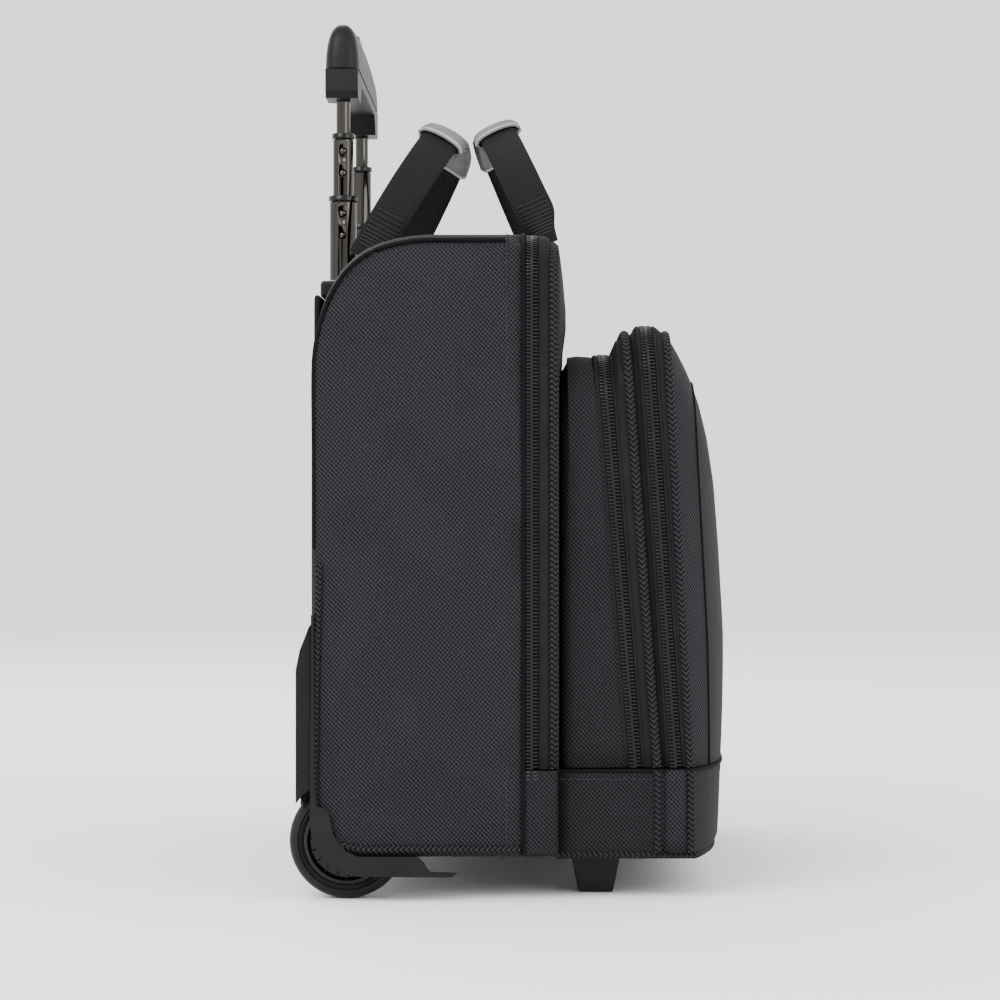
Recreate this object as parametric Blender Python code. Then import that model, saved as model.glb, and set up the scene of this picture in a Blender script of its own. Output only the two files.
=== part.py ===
"""Rolling laptop case: a soft wheeled case with a telescopic handle.

Frame: metres, +Z up, the front pockets face -Y, the wheels and the telescopic
handle are at +Y, and the width runs along X. The origin is the middle of the
bounding box, on the floor.
"""
import math

import bmesh
import bpy
from mathutils import Vector

# ---------------------------------------------------------------- dimensions
GAP = 0.0004                # clearance between neighbouring pieces
SIDES = (("left", -1), ("right", 1))

# Main section
HALF_WIDTH = 0.212
BACK_Y = 0.1118
RIM_Y = -0.0065             # front rim of the shell, beside the main zipper
FLOOR_Z = 0.0245
TOP_Z = 0.3745
WALL = 0.004
TOP_CORNER = 0.028          # corner radius seen from the front
HEEL_RADIUS = 0.028         # lower back corner seen from the side
BACK_CURVE_Z = 0.290        # where the back edge starts to lean over to the top
TOP_CURVE_Y = 0.049         # where that curve ends on the flat top

# Covers fold at the height where the zippers end
FOLD_Z = 0.0735
HINGE_Y = -0.1240

# Main zipper and the panel in front of it
MAIN_ZIP_Y = -0.0114
COIL_HALF = 0.0045          # width of one row of teeth
PANEL_Y = -0.0264
PANEL_TOP_Z = 0.3705

# Front pockets: (Y at the fold, lean back per metre of height, top Z)
POCKET_HALF_WIDTH = 0.200
POCKET_CORNER = 0.030
POCKET_BACK_Y = PANEL_Y - GAP
ORGANIZER_ZIP = (-0.0697, 0.078, 0.3070)
ORGANIZER_PIPING = (-0.0822, 0.073, 0.3190)
POCKET_ZIP = (-0.0924, 0.067, 0.3235)
POCKET_PIPING = (-0.1008, 0.054, 0.3190)
DOME_DEPTH = 0.0280
DOME_POWER = 6
POCKET_FLOOR_Z = 0.0222

# Wheels
WHEEL_RADIUS = 0.0327
AXLE_Y = 0.0923
AXLE_Z = WHEEL_RADIUS
WHEEL_X = (0.1815, 0.2015)
WELL_RADIUS = 0.0358
WELL_X = (0.1785, 0.2045)
HOUSING_RADIUS = 0.0402
HOUSING_X = (0.1755, 0.2075)
AXLE_RADIUS = 0.0030
GUARD_X = (0.2124, 0.2155)

# Telescopic handle
TUBE_X = 0.090
TUBE_Y = 0.1019
FIXED_TUBE = (0.0101, 0.0086, 0.0600, 0.3550)    # outer r, inner r, bottom, top
STAGE_A = (0.0081, 0.0066, 0.1157, 0.4057)
STAGE_B = (0.0061, 0.0046, 0.1531, 0.4431)
STAGE_C = (0.0041, 0.0031, 0.1750, 0.4700)
COLLAR_HEIGHT = 0.0032
BEZEL_TOP_Z = 0.3535
WINDOW_HALF = 0.1175
GRIP_HALF = 0.1055
GRIP_DEPTH = 0.0100
GRIP_BOTTOM_Z = 0.4630
GRIP_SEAM_Z = 0.4805
GRIP_END_TOP_Z = 0.5064
GRIP_ARCH = 0.0056

# Carry handles: (base Y, base Z, lean towards the front in degrees, height)
REAR_HANDLE = (0.0869, 0.3660, 25.8, 0.0955)
FRONT_HANDLE = (-0.0212, 0.3755, -19.5, 0.0845)
HANDLE_FOOT_X = 0.112
STRAP_WIDTH = 0.027
STRAP_THICKNESS = 0.0026

# Front feet
FOOT_X = (0.143, 0.173)

# Colours: linear RGB
FABRIC = (0.022, 0.023, 0.026)
TAPE = (0.030, 0.031, 0.034)
PLASTIC = (0.012, 0.012, 0.013)
RUBBER = (0.016, 0.016, 0.017)
CHROME = (0.090, 0.085, 0.080)
WRAP = (0.210, 0.215, 0.225)
STEEL = (0.450, 0.450, 0.450)
LINING = (0.045, 0.046, 0.050)


# ------------------------------------------------------------------- helpers
def clear_scene():
    for item in list(bpy.data.objects):
        bpy.data.objects.remove(item, do_unlink=True)


def give_material(item, name, colour, roughness, metallic=0.0):
    material = bpy.data.materials.new(name)
    material.use_nodes = True
    shader = material.node_tree.nodes["Principled BSDF"]
    shader.inputs["Base Color"].default_value = (*colour, 1.0)
    shader.inputs["Roughness"].default_value = roughness
    shader.inputs["Metallic"].default_value = metallic
    item.data.materials.append(material)


def finish_mesh(name, mesh_data, look, origin=(0.0, 0.0, 0.0), smooth=False):
    """Turn a bmesh into a named object whose origin is at the given point."""
    bmesh.ops.recalc_face_normals(mesh_data, faces=mesh_data.faces)
    origin = Vector(origin)
    bmesh.ops.translate(mesh_data, verts=mesh_data.verts, vec=-origin)
    mesh = bpy.data.meshes.new(name)
    mesh_data.to_mesh(mesh)
    mesh_data.free()
    if smooth:
        mesh.shade_smooth()
        mesh.set_sharp_from_angle(angle=math.radians(35))
    item = bpy.data.objects.new(name, mesh)
    item.location = origin
    bpy.context.scene.collection.objects.link(item)
    give_material(item, name, *look)
    return item


def arc(centre, radius, start, stop, steps):
    """Points on an arc, angles in degrees from the first axis."""
    points = []
    for step in range(steps + 1):
        angle = math.radians(start + (stop - start) * step / steps)
        points.append((centre[0] + radius * math.cos(angle), centre[1] + radius * math.sin(angle)))
    return points


def bezier(first, second, third, fourth, steps):
    points = []
    for step in range(steps + 1):
        t = step / steps
        weights = ((1 - t) ** 3, 3 * t * (1 - t) ** 2, 3 * t * t * (1 - t), t ** 3)
        knots = (first, second, third, fourth)
        points.append(tuple(sum(w * k[i] for w, k in zip(weights, knots)) for i in (0, 1)))
    return points


def on_axis(axis, u, v, depth):
    """A point of a profile plane, at a depth along the axis across it."""
    if axis == "X":
        return Vector((depth, u, v))
    if axis == "Y":
        return Vector((u, depth, v))
    return Vector((u, v, depth))


def skin(rings, closed=False):
    """Join rings of equal length into one closed surface."""
    mesh_data = bmesh.new()
    loops = [[mesh_data.verts.new(point) for point in ring] for ring in rings]
    count = len(loops[0])
    pairs = list(zip(loops, loops[1:]))
    if closed:
        pairs.append((loops[-1], loops[0]))
    for low, high in pairs:
        for i in range(count):
            j = (i + 1) % count
            mesh_data.faces.new((low[i], low[j], high[j], high[i]))
    if not closed:
        mesh_data.faces.new(loops[0])
        mesh_data.faces.new(loops[-1])
    return mesh_data


def prism(name, outline, low, high, axis, look, origin=(0.0, 0.0, 0.0)):
    rings = [[on_axis(axis, u, v, depth) for u, v in outline] for depth in (low, high)]
    return finish_mesh(name, skin(rings), look, origin)


def box(name, low, high, look, origin=(0.0, 0.0, 0.0)):
    outline = [(low[1], low[2]), (high[1], low[2]), (high[1], high[2]), (low[1], high[2])]
    return prism(name, outline, low[0], high[0], "X", look, origin)


def turned(name, profile, axis, centre, look, steps=16, origin=None):
    """Spin a closed (radius, position) profile round an axis through a point."""
    rings = []
    for step in range(steps):
        angle = 2 * math.pi * step / steps
        ring = []
        for radius, place in profile:
            u = centre[0] + radius * math.cos(angle)
            v = centre[1] + radius * math.sin(angle)
            ring.append(on_axis(axis, u, v, place))
        rings.append(ring)
    return finish_mesh(name, skin(rings, closed=True), look, origin or (0, 0, 0), smooth=True)


def turned_solid(name, profile, axis, centre, look, steps=16, origin=None):
    """Spin an open (radius, position) profile whose ends are closed by flat caps."""
    rings = []
    for radius, place in profile:
        ring = []
        for step in range(steps):
            angle = 2 * math.pi * step / steps
            u = centre[0] + radius * math.cos(angle)
            v = centre[1] + radius * math.sin(angle)
            ring.append(on_axis(axis, u, v, place))
        rings.append(ring)
    return finish_mesh(name, skin(rings), look, origin or (0, 0, 0), smooth=True)


def cut(item, cutter, operation="DIFFERENCE"):
    cutter.hide_render = True
    cutter.display_type = "WIRE"
    modifier = item.modifiers.new(cutter.name, "BOOLEAN")
    modifier.operation = operation
    modifier.solver = "EXACT"
    modifier.object = cutter


def soften(item, width, segments=2):
    modifier = item.modifiers.new("soft_edges", "BEVEL")
    modifier.width = width
    modifier.segments = segments
    modifier.limit_method = "ANGLE"
    modifier.angle_limit = math.radians(40)


# ------------------------------------------------------------------- looks
FABRIC_LOOK = (FABRIC, 0.85)
TAPE_LOOK = (TAPE, 0.80)
PLASTIC_LOOK = (PLASTIC, 0.45)
CUTTER_LOOK = (STEEL, 0.50)


# -------------------------------------------------------------- main section
def side_outline(inset, rim_y):
    """Side profile of the main section, moved inwards by the wall thickness."""
    heel = (BACK_Y - HEEL_RADIUS, FLOOR_Z + HEEL_RADIUS)
    points = [(rim_y, FLOOR_Z + inset)]
    points += arc(heel, HEEL_RADIUS - inset, -90, 0, 5)
    back = BACK_Y - inset
    top = TOP_Z - inset
    points += bezier((back, BACK_CURVE_Z), (back, 0.361 - inset / 2), (0.083, top - 0.0023),
                     (TOP_CURVE_Y, top), 7)
    points.append((rim_y, top))
    return points


def front_outline(half_width, low, top, low_radius, top_radius, steps=5):
    """Rounded rectangle in the front view, as (x, z) points."""
    points = arc((half_width - low_radius, low + low_radius), low_radius, -90, 0, 2)
    points += arc((half_width - top_radius, top - top_radius), top_radius, 0, 90, steps)
    points += arc((top_radius - half_width, top - top_radius), top_radius, 90, 180, steps)
    points += arc((low_radius - half_width, low + low_radius), low_radius, 180, 270, 2)
    return points


def make_main_shell():
    shell = prism("main_shell", side_outline(0.0, RIM_Y), -HALF_WIDTH, HALF_WIDTH, "X", FABRIC_LOOK)
    corners = front_outline(HALF_WIDTH + 0.00002, FLOOR_Z - 0.01, TOP_Z + 0.00002, 0.005, TOP_CORNER)
    cut(shell, prism("shell_corners", corners, -0.05, 0.15, "Y", CUTTER_LOOK), "INTERSECT")
    inside = prism("shell_inside", side_outline(WALL, RIM_Y - 0.02), WALL - HALF_WIDTH,
                   HALF_WIDTH - WALL, "X", CUTTER_LOOK)
    inner_corners = front_outline(HALF_WIDTH - WALL + 0.00002, 0.0, TOP_Z - WALL + 0.00002, 0.005,
                                  TOP_CORNER - WALL)
    cut(inside, prism("inside_corners", inner_corners, -0.06, 0.16, "Y", CUTTER_LOOK), "INTERSECT")
    cut(shell, inside)
    window = box("tube_window", (-WINDOW_HALF, 0.0900, 0.0590), (WINDOW_HALF, 0.15, 0.40), CUTTER_LOOK)
    cut(shell, window)
    for side, sign in SIDES:
        low, high = sorted((sign * (HOUSING_X[0] - 0.0035), sign * (HOUSING_X[1] + GAP)))
        outline = arc((AXLE_Y, AXLE_Z), HOUSING_RADIUS + GAP, 0, 345, 23)
        cut(shell, prism("well_cut_" + side, outline, low, high, "X", CUTTER_LOOK))
    return shell


def make_boards():
    board = (LINING, 0.70)
    box("back_board", (-0.172, 0.0883, 0.0320), (0.172, 0.0897, 0.3450), board)
    pad = box("laptop_divider", (-0.172, 0.0610, 0.0330), (0.172, 0.0670, 0.2900), (LINING, 0.90))
    soften(pad, 0.002)
    panel = box("back_panel", (-0.1300, 0.1122, 0.1580), (0.1300, 0.1162, 0.3425), FABRIC_LOOK)
    soften(panel, 0.0015)


def make_kick_plate():
    """Moulded plate low on the back, notched round the two wheels."""
    front = BACK_Y + GAP
    back = 0.1206
    outline = [(front, 0.0360), (back - 0.004, 0.0360), (back, 0.0400), (back, 0.1290),
               (back - 0.0022, 0.1400), (back - 0.0050, 0.1470), (front + 0.0012, 0.1530),
               (front, 0.1545)]
    plate = prism("kick_plate", outline, -0.2075, 0.2075, "X", PLASTIC_LOOK)
    for side, sign in SIDES:
        low, high = sorted((sign * 0.1735, sign * 0.22))
        notch = prism("plate_notch_" + side, arc((AXLE_Y, AXLE_Z), WELL_RADIUS, 0, 345, 23), low,
                      high, "X", CUTTER_LOOK)
        cut(plate, notch)
    return plate


def guard_outline():
    """Corner guard: a thin flange up the back edge, then a band round the heel."""
    outer = [(0.1114, 0.1601), (0.1119, 0.0556), (0.1121, 0.0445), (0.1107, 0.0350),
             (0.1080, 0.0290), (0.1030, 0.0230), (0.0979, 0.0189), (0.0918, 0.0160),
             (0.0860, 0.0145), (0.0329, 0.0141), (0.0300, 0.0165)]
    inner = [(0.0449, 0.0168), (0.0487, 0.0222), (0.0523, 0.0255), (0.0835, 0.0255),
             (0.0870, 0.0263), (0.0918, 0.0289), (0.0963, 0.0330), (0.0991, 0.0383),
             (0.1005, 0.0458), (0.1013, 0.0495), (0.1046, 0.0528), (0.1081, 0.0534),
             (0.1094, 0.0628), (0.1097, 0.1601)]
    return outer + inner


def make_wheel_side(side, sign):
    guard_x = sorted((sign * GUARD_X[0], sign * GUARD_X[1]))
    guard = prism("corner_guard_" + side, guard_outline(), *guard_x, "X", PLASTIC_LOOK)
    guard.data.shade_flat()

    housing_x = sorted((sign * HOUSING_X[0], sign * HOUSING_X[1]))
    housing = prism("wheel_housing_" + side, side_outline(0.0, 0.0), *housing_x, "X", PLASTIC_LOOK)
    disc = prism("housing_disc_" + side, arc((AXLE_Y, AXLE_Z), HOUSING_RADIUS, 0, 345, 23), sign * 0.10,
                 sign * 0.30, "X", CUTTER_LOOK)
    cut(housing, disc, "INTERSECT")
    well = prism("wheel_well_" + side, arc((AXLE_Y, AXLE_Z), WELL_RADIUS, 0, 345, 23),
                 sign * WELL_X[0], sign * WELL_X[1], "X", CUTTER_LOOK)
    cut(housing, well)
    hole = prism("axle_hole_" + side, arc((AXLE_Y, AXLE_Z), AXLE_RADIUS + GAP, 0, 330, 11),
                 sign * 0.16, sign * 0.22, "X", CUTTER_LOOK)
    cut(housing, hole)

    head_x = HOUSING_X[0] - GAP
    axle = [(0.0050, sign * (head_x - 0.0025)), (0.0050, sign * head_x),
            (AXLE_RADIUS, sign * head_x), (AXLE_RADIUS, sign * (HOUSING_X[1] - 0.0006))]
    turned_solid("axle_" + side, axle, "X", (AXLE_Y, AXLE_Z), (STEEL, 0.35, 1.0), 16)

    centre = (sign * sum(WHEEL_X) / 2, AXLE_Y, AXLE_Z)
    low, high = WHEEL_X
    radius = WHEEL_RADIUS
    tyre = [(0.0247, low + 0.001), (radius - 0.005, low), (radius - 0.0015, low + 0.0018),
            (radius, low + 0.0055), (radius, high - 0.0055), (radius - 0.0015, high - 0.0018),
            (radius - 0.005, high), (0.0247, high - 0.001)]
    tyre = [(r, sign * x) for r, x in tyre]
    turned("wheel_tyre_" + side, tyre, "X", (AXLE_Y, AXLE_Z), (RUBBER, 0.75), 40, centre)
    hub = [(0.0244, low + 0.0015), (0.0244, high - 0.0015), (0.0220, high - 0.0015),
           (0.0205, high - 0.0060), (0.0115, high - 0.0060), (0.0105, high - 0.0025),
           (0.0072, high - 0.0025), (0.0072, low + 0.0025), (0.0105, low + 0.0025),
           (0.0115, low + 0.0060), (0.0205, low + 0.0060), (0.0220, low + 0.0015)]
    hub = [(r, sign * x) for r, x in hub]
    turned("wheel_hub_" + side, hub, "X", (AXLE_Y, AXLE_Z), (PLASTIC, 0.35), 40, centre)
    bearing = [(0.0034, low + 0.0028), (0.0069, low + 0.0028), (0.0069, high - 0.0028),
               (0.0034, high - 0.0028)]
    bearing = [(r, sign * x) for r, x in bearing]
    turned("wheel_bearing_" + side, bearing, "X", (AXLE_Y, AXLE_Z), (STEEL, 0.30, 1.0), 24, centre)

    foot_low, foot_high = sorted((sign * FOOT_X[0], sign * FOOT_X[1]))
    rings = []
    for height, inset in ((0.0, 0.0050), (0.0012, 0.0042), (POCKET_FLOOR_Z - GAP, 0.0)):
        y_low, y_high = -0.0620 + inset, -0.0336 - inset
        x_low, x_high = foot_low + inset / 2, foot_high - inset / 2
        rings.append([Vector((x_low, y_low, height)), Vector((x_high, y_low, height)),
                      Vector((x_high, y_high, height)), Vector((x_low, y_high, height))])
    finish_mesh("front_foot_" + side, skin(rings), (RUBBER, 0.60))


# --------------------------------------------------------- telescopic handle
def tube(name, sizes, sign, joint_z, top_cut=0.0):
    outer, inner, bottom, top = sizes
    profile = [(outer, bottom), (outer, top - top_cut), (inner, top - top_cut), (inner, bottom)]
    origin = (sign * TUBE_X, TUBE_Y, joint_z)
    return turned(name, profile, "Z", (sign * TUBE_X, TUBE_Y), (CHROME, 0.25, 1.0), 20, origin)


def collar(name, sizes, sign):
    outer, inner, _, top = sizes
    profile = [(outer + 0.0005, top - COLLAR_HEIGHT), (outer + 0.0005, top),
               (inner, top), (inner, top - COLLAR_HEIGHT)]
    origin = (sign * TUBE_X, TUBE_Y, top)
    return turned(name, profile, "Z", (sign * TUBE_X, TUBE_Y), PLASTIC_LOOK, 20, origin)


def make_telescopic_handle():
    bezel = box("handle_bezel", (-0.1170, 0.0905, 0.3432), (0.1170, 0.1136, BEZEL_TOP_Z), PLASTIC_LOOK)
    bracket = box("tube_bracket", (-0.1050, 0.0905, 0.0528), (0.1050, 0.1070, 0.0596), (STEEL, 0.4, 1.0))
    soften(bezel, 0.002)
    soften(bracket, 0.001, 1)
    for side, sign in SIDES:
        hole = turned_solid("bezel_hole_" + side, [(FIXED_TUBE[0] + 0.0005, 0.33),
                            (FIXED_TUBE[0] + 0.0005, 0.37)], "Z", (sign * TUBE_X, TUBE_Y), CUTTER_LOOK, 24)
        cut(bezel, hole)
        tube("fixed_tube_" + side, FIXED_TUBE, sign, FIXED_TUBE[2])
        for stage, sizes in (("a", STAGE_A), ("b", STAGE_B)):
            outer = tube("stage_%s_tube_%s" % (stage, side), sizes, sign, sizes[2], COLLAR_HEIGHT + GAP)
            for number, drop in enumerate((0.0108, 0.0239)):
                height = sizes[3] - drop
                lock = prism("lock_hole_%s_%s_%d" % (stage, side, number),
                             arc((TUBE_Y, height), 0.0024, 0, 330, 11), sign * TUBE_X,
                             sign * (TUBE_X + 0.02), "X", CUTTER_LOOK)
                cut(outer, lock)
            collar("stage_%s_collar_%s" % (stage, side), sizes, sign)
        tube("stage_c_tube_" + side, STAGE_C, sign, STAGE_C[2])


def grip_top(x):
    return GRIP_END_TOP_Z + GRIP_ARCH * (1 - (x / GRIP_HALF) ** 2)


def make_grip():
    low, seam = GRIP_BOTTOM_Z, GRIP_SEAM_Z - GAP
    inner = TUBE_X - 0.0155
    half = GRIP_HALF - 0.0003
    outline = [(-half, low + 0.004), (-half + 0.003, low), (-inner - 0.003, low), (-inner, low + 0.004),
               (-inner + 0.008, 0.4745), (inner - 0.008, 0.4745), (inner, low + 0.004),
               (inner + 0.003, low), (half - 0.003, low), (half, low + 0.004), (half, seam),
               (-half, seam)]
    base = prism("grip_base", outline, TUBE_Y - GRIP_DEPTH + 0.0003, TUBE_Y + GRIP_DEPTH - 0.0003, "Y",
                 PLASTIC_LOOK)
    for side, sign in SIDES:
        socket = turned_solid("grip_socket_" + side, [(STAGE_C[0] + 0.0004, 0.45),
                              (STAGE_C[0] + 0.0004, STAGE_C[3] + 0.0005)], "Z",
                              (sign * TUBE_X, TUBE_Y), CUTTER_LOOK, 20)
        cut(base, socket)

    rings = []
    stations = (-1.0, -0.985, -0.93, -0.8, -0.5, -0.2, 0.2, 0.5, 0.8, 0.93, 0.985, 1.0)
    for place in stations:
        x = place * GRIP_HALF
        ends = max(0.0, (abs(place) - 0.93) / 0.07)
        shrink = math.sqrt(1 - (0.72 * ends) ** 2)
        height = (grip_top(x) - GRIP_SEAM_Z) * (0.25 + 0.75 * shrink)
        depth = GRIP_DEPTH * (0.3 + 0.7 * shrink)
        ring = [Vector((x, TUBE_Y + depth, GRIP_SEAM_Z))]
        for step in range(1, 12):
            angle = math.pi * step / 12
            y = TUBE_Y + depth * math.copysign(abs(math.cos(angle)) ** 0.85, math.cos(angle))
            ring.append(Vector((x, y, GRIP_SEAM_Z + height * math.sin(angle) ** 0.85)))
        ring.append(Vector((x, TUBE_Y - depth, GRIP_SEAM_Z)))
        rings.append(ring)
    cover = finish_mesh("grip_cover", skin(rings), PLASTIC_LOOK, smooth=True)

    slot = arc((0.012, TUBE_Y), 0.0054, -90, 90, 6) + arc((-0.012, TUBE_Y), 0.0054, 90, 270, 6)
    cut(cover, prism("button_slot", slot, 0.4950, 0.53, "Z", CUTTER_LOOK))
    shape = arc((0.012, TUBE_Y), 0.0050, -90, 90, 6) + arc((-0.012, TUBE_Y), 0.0050, 90, 270, 6)
    button = prism("release_button", shape, 0.5000, 0.5135, "Z", (PLASTIC, 0.30), (0, TUBE_Y, 0.5))
    soften(button, 0.0008)


# ------------------------------------------------------------- carry handles
def handle_path(height):
    """Half of the arch from the foot to the middle, as (x, rise, half width) points."""
    foot = HANDLE_FOOT_X
    wide = STRAP_WIDTH / 2
    shape = ((1.000, 0.00, 0.15), (0.998, 0.10, 0.48), (0.990, 0.22, 0.85), (0.960, 0.38, 1.0),
             (0.880, 0.56, 1.0), (0.760, 0.73, 1.0), (0.610, 0.88, 1.0), (0.480, 0.955, 1.0),
             (0.330, 0.985, 1.0), (0.150, 1.0, 1.0))
    half = [(foot * a, height * b, wide * c) for a, b, c in shape]
    return [(-x, rise, w) for x, rise, w in half] + half[::-1]


def band(path, thickness, base, lean, first, last):
    """A flat band along the arch, leaning forwards round the line of its feet."""
    base_y, base_z = base
    forward = math.radians(lean)
    rings = []
    for index in range(first, last):
        before = path[max(index - 1, 0)]
        after = path[min(index + 1, len(path) - 1)]
        x, rise, half = path[index]
        along = Vector((after[0] - before[0], 0, after[1] - before[1])).normalized()
        normal = Vector((-along.z, 0, along.x))
        ring = []
        for u, v in ((-half, -1), (half, -1), (half, 1), (-half, 1)):
            flat = Vector((x, u, rise)) + normal * (v * thickness / 2)
            y = flat.y * math.cos(forward) - flat.z * math.sin(forward)
            z = flat.y * math.sin(forward) + flat.z * math.cos(forward)
            ring.append(Vector((flat.x, base_y + y, base_z + z)))
        rings.append(ring)
    return skin(rings)


def make_carry_handle(name, sizes):
    base_y, base_z, lean, height = sizes
    path = handle_path(height)
    origin = (0, base_y, base_z)
    strap = finish_mesh(name + "_strap", band(path, STRAP_THICKNESS, (base_y, base_z), lean, 0, len(path)),
                        (FABRIC, 0.80), origin)
    # The wrap is a thick sleeve; the strap runs through its slot.
    wrap_path = [(x, rise, 0.0148) for x, rise, _ in path]
    wrap = finish_mesh(name + "_wrap", band(wrap_path, 0.0080, (base_y, base_z), lean, 7, 13),
                       (WRAP, 0.60), origin)
    slot_path = [(x, rise, STRAP_WIDTH / 2 + GAP) for x, rise, _ in path]
    slot = finish_mesh(name + "_slot", band(slot_path, STRAP_THICKNESS + 2 * GAP, (base_y, base_z), lean,
                                            5, 15), CUTTER_LOOK, origin)
    cut(wrap, slot)
    return strap, wrap


# ------------------------------------------------------- front section, covers
def leaning_ring(outline, plane, shift=0.0):
    """Place a front-view outline in a leaning plane (Y at the fold, lean)."""
    y_fold, lean = plane[0], plane[1]
    return [Vector((x, y_fold + shift + lean * (z - FOLD_Z), z)) for x, z in outline]


def tooth_row(name, plane, half_width, corner, top, side, thickness=0.0018):
    """One row of zipper teeth: up one side, over the top and down the other."""
    outline = []
    for inset in (0.0, thickness):
        w, t, r = half_width - inset, top - inset, corner - inset
        half = [(w, FOLD_Z + GAP)]
        half += arc((w - r, t - r), r, 0, 90, 6)
        line = half + [(-x, z) for x, z in reversed(half)]
        outline += line if inset == 0.0 else line[::-1]
    near, far = (0.0002, COIL_HALF) if side > 0 else (-COIL_HALF, -0.0002)
    rings = [leaning_ring(outline, plane, near), leaning_ring(outline, plane, far)]
    return finish_mesh(name, skin(rings), (PLASTIC, 0.40))


def dish(name, planes, wall, look, origin):
    """A hollow cover: rings from the open rim to the outer face, and back inside.

    Each plane is (Y at the fold, lean, top Z, half width, corner radius).
    """
    outer, inner = [], []
    for y_fold, lean, top, half, corner in planes:
        outline = front_outline(half, FOLD_Z + GAP, top, 0.004, corner)
        outer.append(leaning_ring(outline, (y_fold, lean)))
        small = front_outline(half - wall, FOLD_Z + GAP + wall, top - wall, 0.002, corner - wall)
        inner.append(leaning_ring(small, (y_fold, lean)))
    step = wall if planes[0][0] > planes[-1][0] else -wall
    last = planes[-1]
    small = front_outline(last[3] - wall, FOLD_Z + GAP + wall, last[2] - wall, 0.002, last[4] - wall)
    inner[-1] = leaning_ring(small, (last[0], last[1]), step)
    return finish_mesh(name, skin(inner[::-1] + outer), look, origin)


def make_front_section():
    hinge = (0, HINGE_Y, FOLD_Z)
    rim = MAIN_ZIP_Y - COIL_HALF - GAP
    planes = [(rim, 0.0, TOP_Z - 0.0010, HALF_WIDTH, TOP_CORNER),
              (-0.0211, 0.0, TOP_Z - 0.0018, HALF_WIDTH, TOP_CORNER),
              (PANEL_Y, 0.0, PANEL_TOP_Z, HALF_WIDTH - 0.0015, TOP_CORNER)]
    dish("front_panel", planes, 0.0030, FABRIC_LOOK, hinge)

    plane = (MAIN_ZIP_Y, 0.0)
    tooth_row("main_teeth_rear", plane, HALF_WIDTH - 0.0005, TOP_CORNER, TOP_Z - 0.0005, 1)
    tooth_row("main_teeth_front", plane, HALF_WIDTH - 0.0005, TOP_CORNER, TOP_Z - 0.0005, -1)

    y_zip, lean, top = ORGANIZER_ZIP
    rim = y_zip + COIL_HALF + GAP
    planes = [(rim, lean, top - 0.0010, POCKET_HALF_WIDTH, POCKET_CORNER),
              (-0.0330, 0.0, 0.3048, POCKET_HALF_WIDTH, POCKET_CORNER),
              (POCKET_BACK_Y, 0.0, 0.2990, POCKET_HALF_WIDTH - 0.003, POCKET_CORNER)]
    dish("organizer_gusset", planes, 0.0030, FABRIC_LOOK, hinge)
    tooth_row("organizer_teeth_rear", ORGANIZER_ZIP, POCKET_HALF_WIDTH - 0.0005, POCKET_CORNER, top, 1)
    tooth_row("organizer_teeth_front", ORGANIZER_ZIP, POCKET_HALF_WIDTH - 0.0005, POCKET_CORNER, top, -1)

    rim = y_zip - COIL_HALF - GAP
    wall_y = POCKET_ZIP[0] + COIL_HALF + GAP
    planes = [(rim, lean, top + 0.0010, POCKET_HALF_WIDTH, POCKET_CORNER),
              (ORGANIZER_PIPING[0], ORGANIZER_PIPING[1], ORGANIZER_PIPING[2], POCKET_HALF_WIDTH,
               POCKET_CORNER),
              (wall_y, POCKET_ZIP[1], POCKET_ZIP[2] - 0.0020, POCKET_HALF_WIDTH, POCKET_CORNER)]
    dish("organizer_cover", planes, 0.0025, FABRIC_LOOK, hinge)
    top = POCKET_ZIP[2]
    tooth_row("pocket_teeth_rear", POCKET_ZIP, POCKET_HALF_WIDTH - 0.0005, POCKET_CORNER, top, 1)
    tooth_row("pocket_teeth_front", POCKET_ZIP, POCKET_HALF_WIDTH - 0.0005, POCKET_CORNER, top, -1)


def low_bulge(z):
    """Share of the full bulge: it eases off towards the floor."""
    return 1 - 0.20 * max(0.0, (0.15 - z) / 0.0762) ** 1.3


def make_pocket_cover():
    """Rim at the pocket zipper, then rings that shrink towards the foot of the face."""
    wall = 0.0028
    low = FOLD_Z + GAP
    _, _, top = POCKET_PIPING
    rim_y = POCKET_ZIP[0] - COIL_HALF - GAP
    edge = front_outline(POCKET_HALF_WIDTH, low, top, 0.001, POCKET_CORNER)
    rim = front_outline(POCKET_HALF_WIDTH, low, POCKET_ZIP[2] - 0.0010, 0.001, POCKET_CORNER)

    def face_ring(outline, share, inset):
        ring = []
        for x, z in outline:
            place = (x * share, low + (z - low) * share)
            bulge = DOME_DEPTH * (1 - share ** DOME_POWER) * low_bulge(place[1])
            y = POCKET_PIPING[0] + POCKET_PIPING[1] * (place[1] - FOLD_Z) - bulge + inset
            ring.append(Vector((place[0], y, place[1])))
        return ring

    outer = [leaning_ring(rim, (rim_y, POCKET_ZIP[1]))]
    outer += [face_ring(edge, share, 0.0) for share in (1.0, 0.985, 0.95, 0.88, 0.78, 0.65, 0.45, 0.2)]
    small = front_outline(POCKET_HALF_WIDTH - wall, low + wall, top - wall, 0.0005, POCKET_CORNER - wall)
    small_rim = front_outline(POCKET_HALF_WIDTH - wall, low + wall, POCKET_ZIP[2] - 0.0010 - wall,
                              0.0005, POCKET_CORNER - wall)
    inner = [leaning_ring(small_rim, (rim_y, POCKET_ZIP[1]))]
    for share in (0.98, 0.93, 0.86, 0.76, 0.63, 0.45, 0.2):
        ring = face_ring(small, share, wall)
        inner.append([Vector((p.x, p.y, p.z + wall * (1 - share))) for p in ring])
    finish_mesh("pocket_cover", skin(inner[::-1] + outer), FABRIC_LOOK, (0, HINGE_Y, FOLD_Z))


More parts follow.
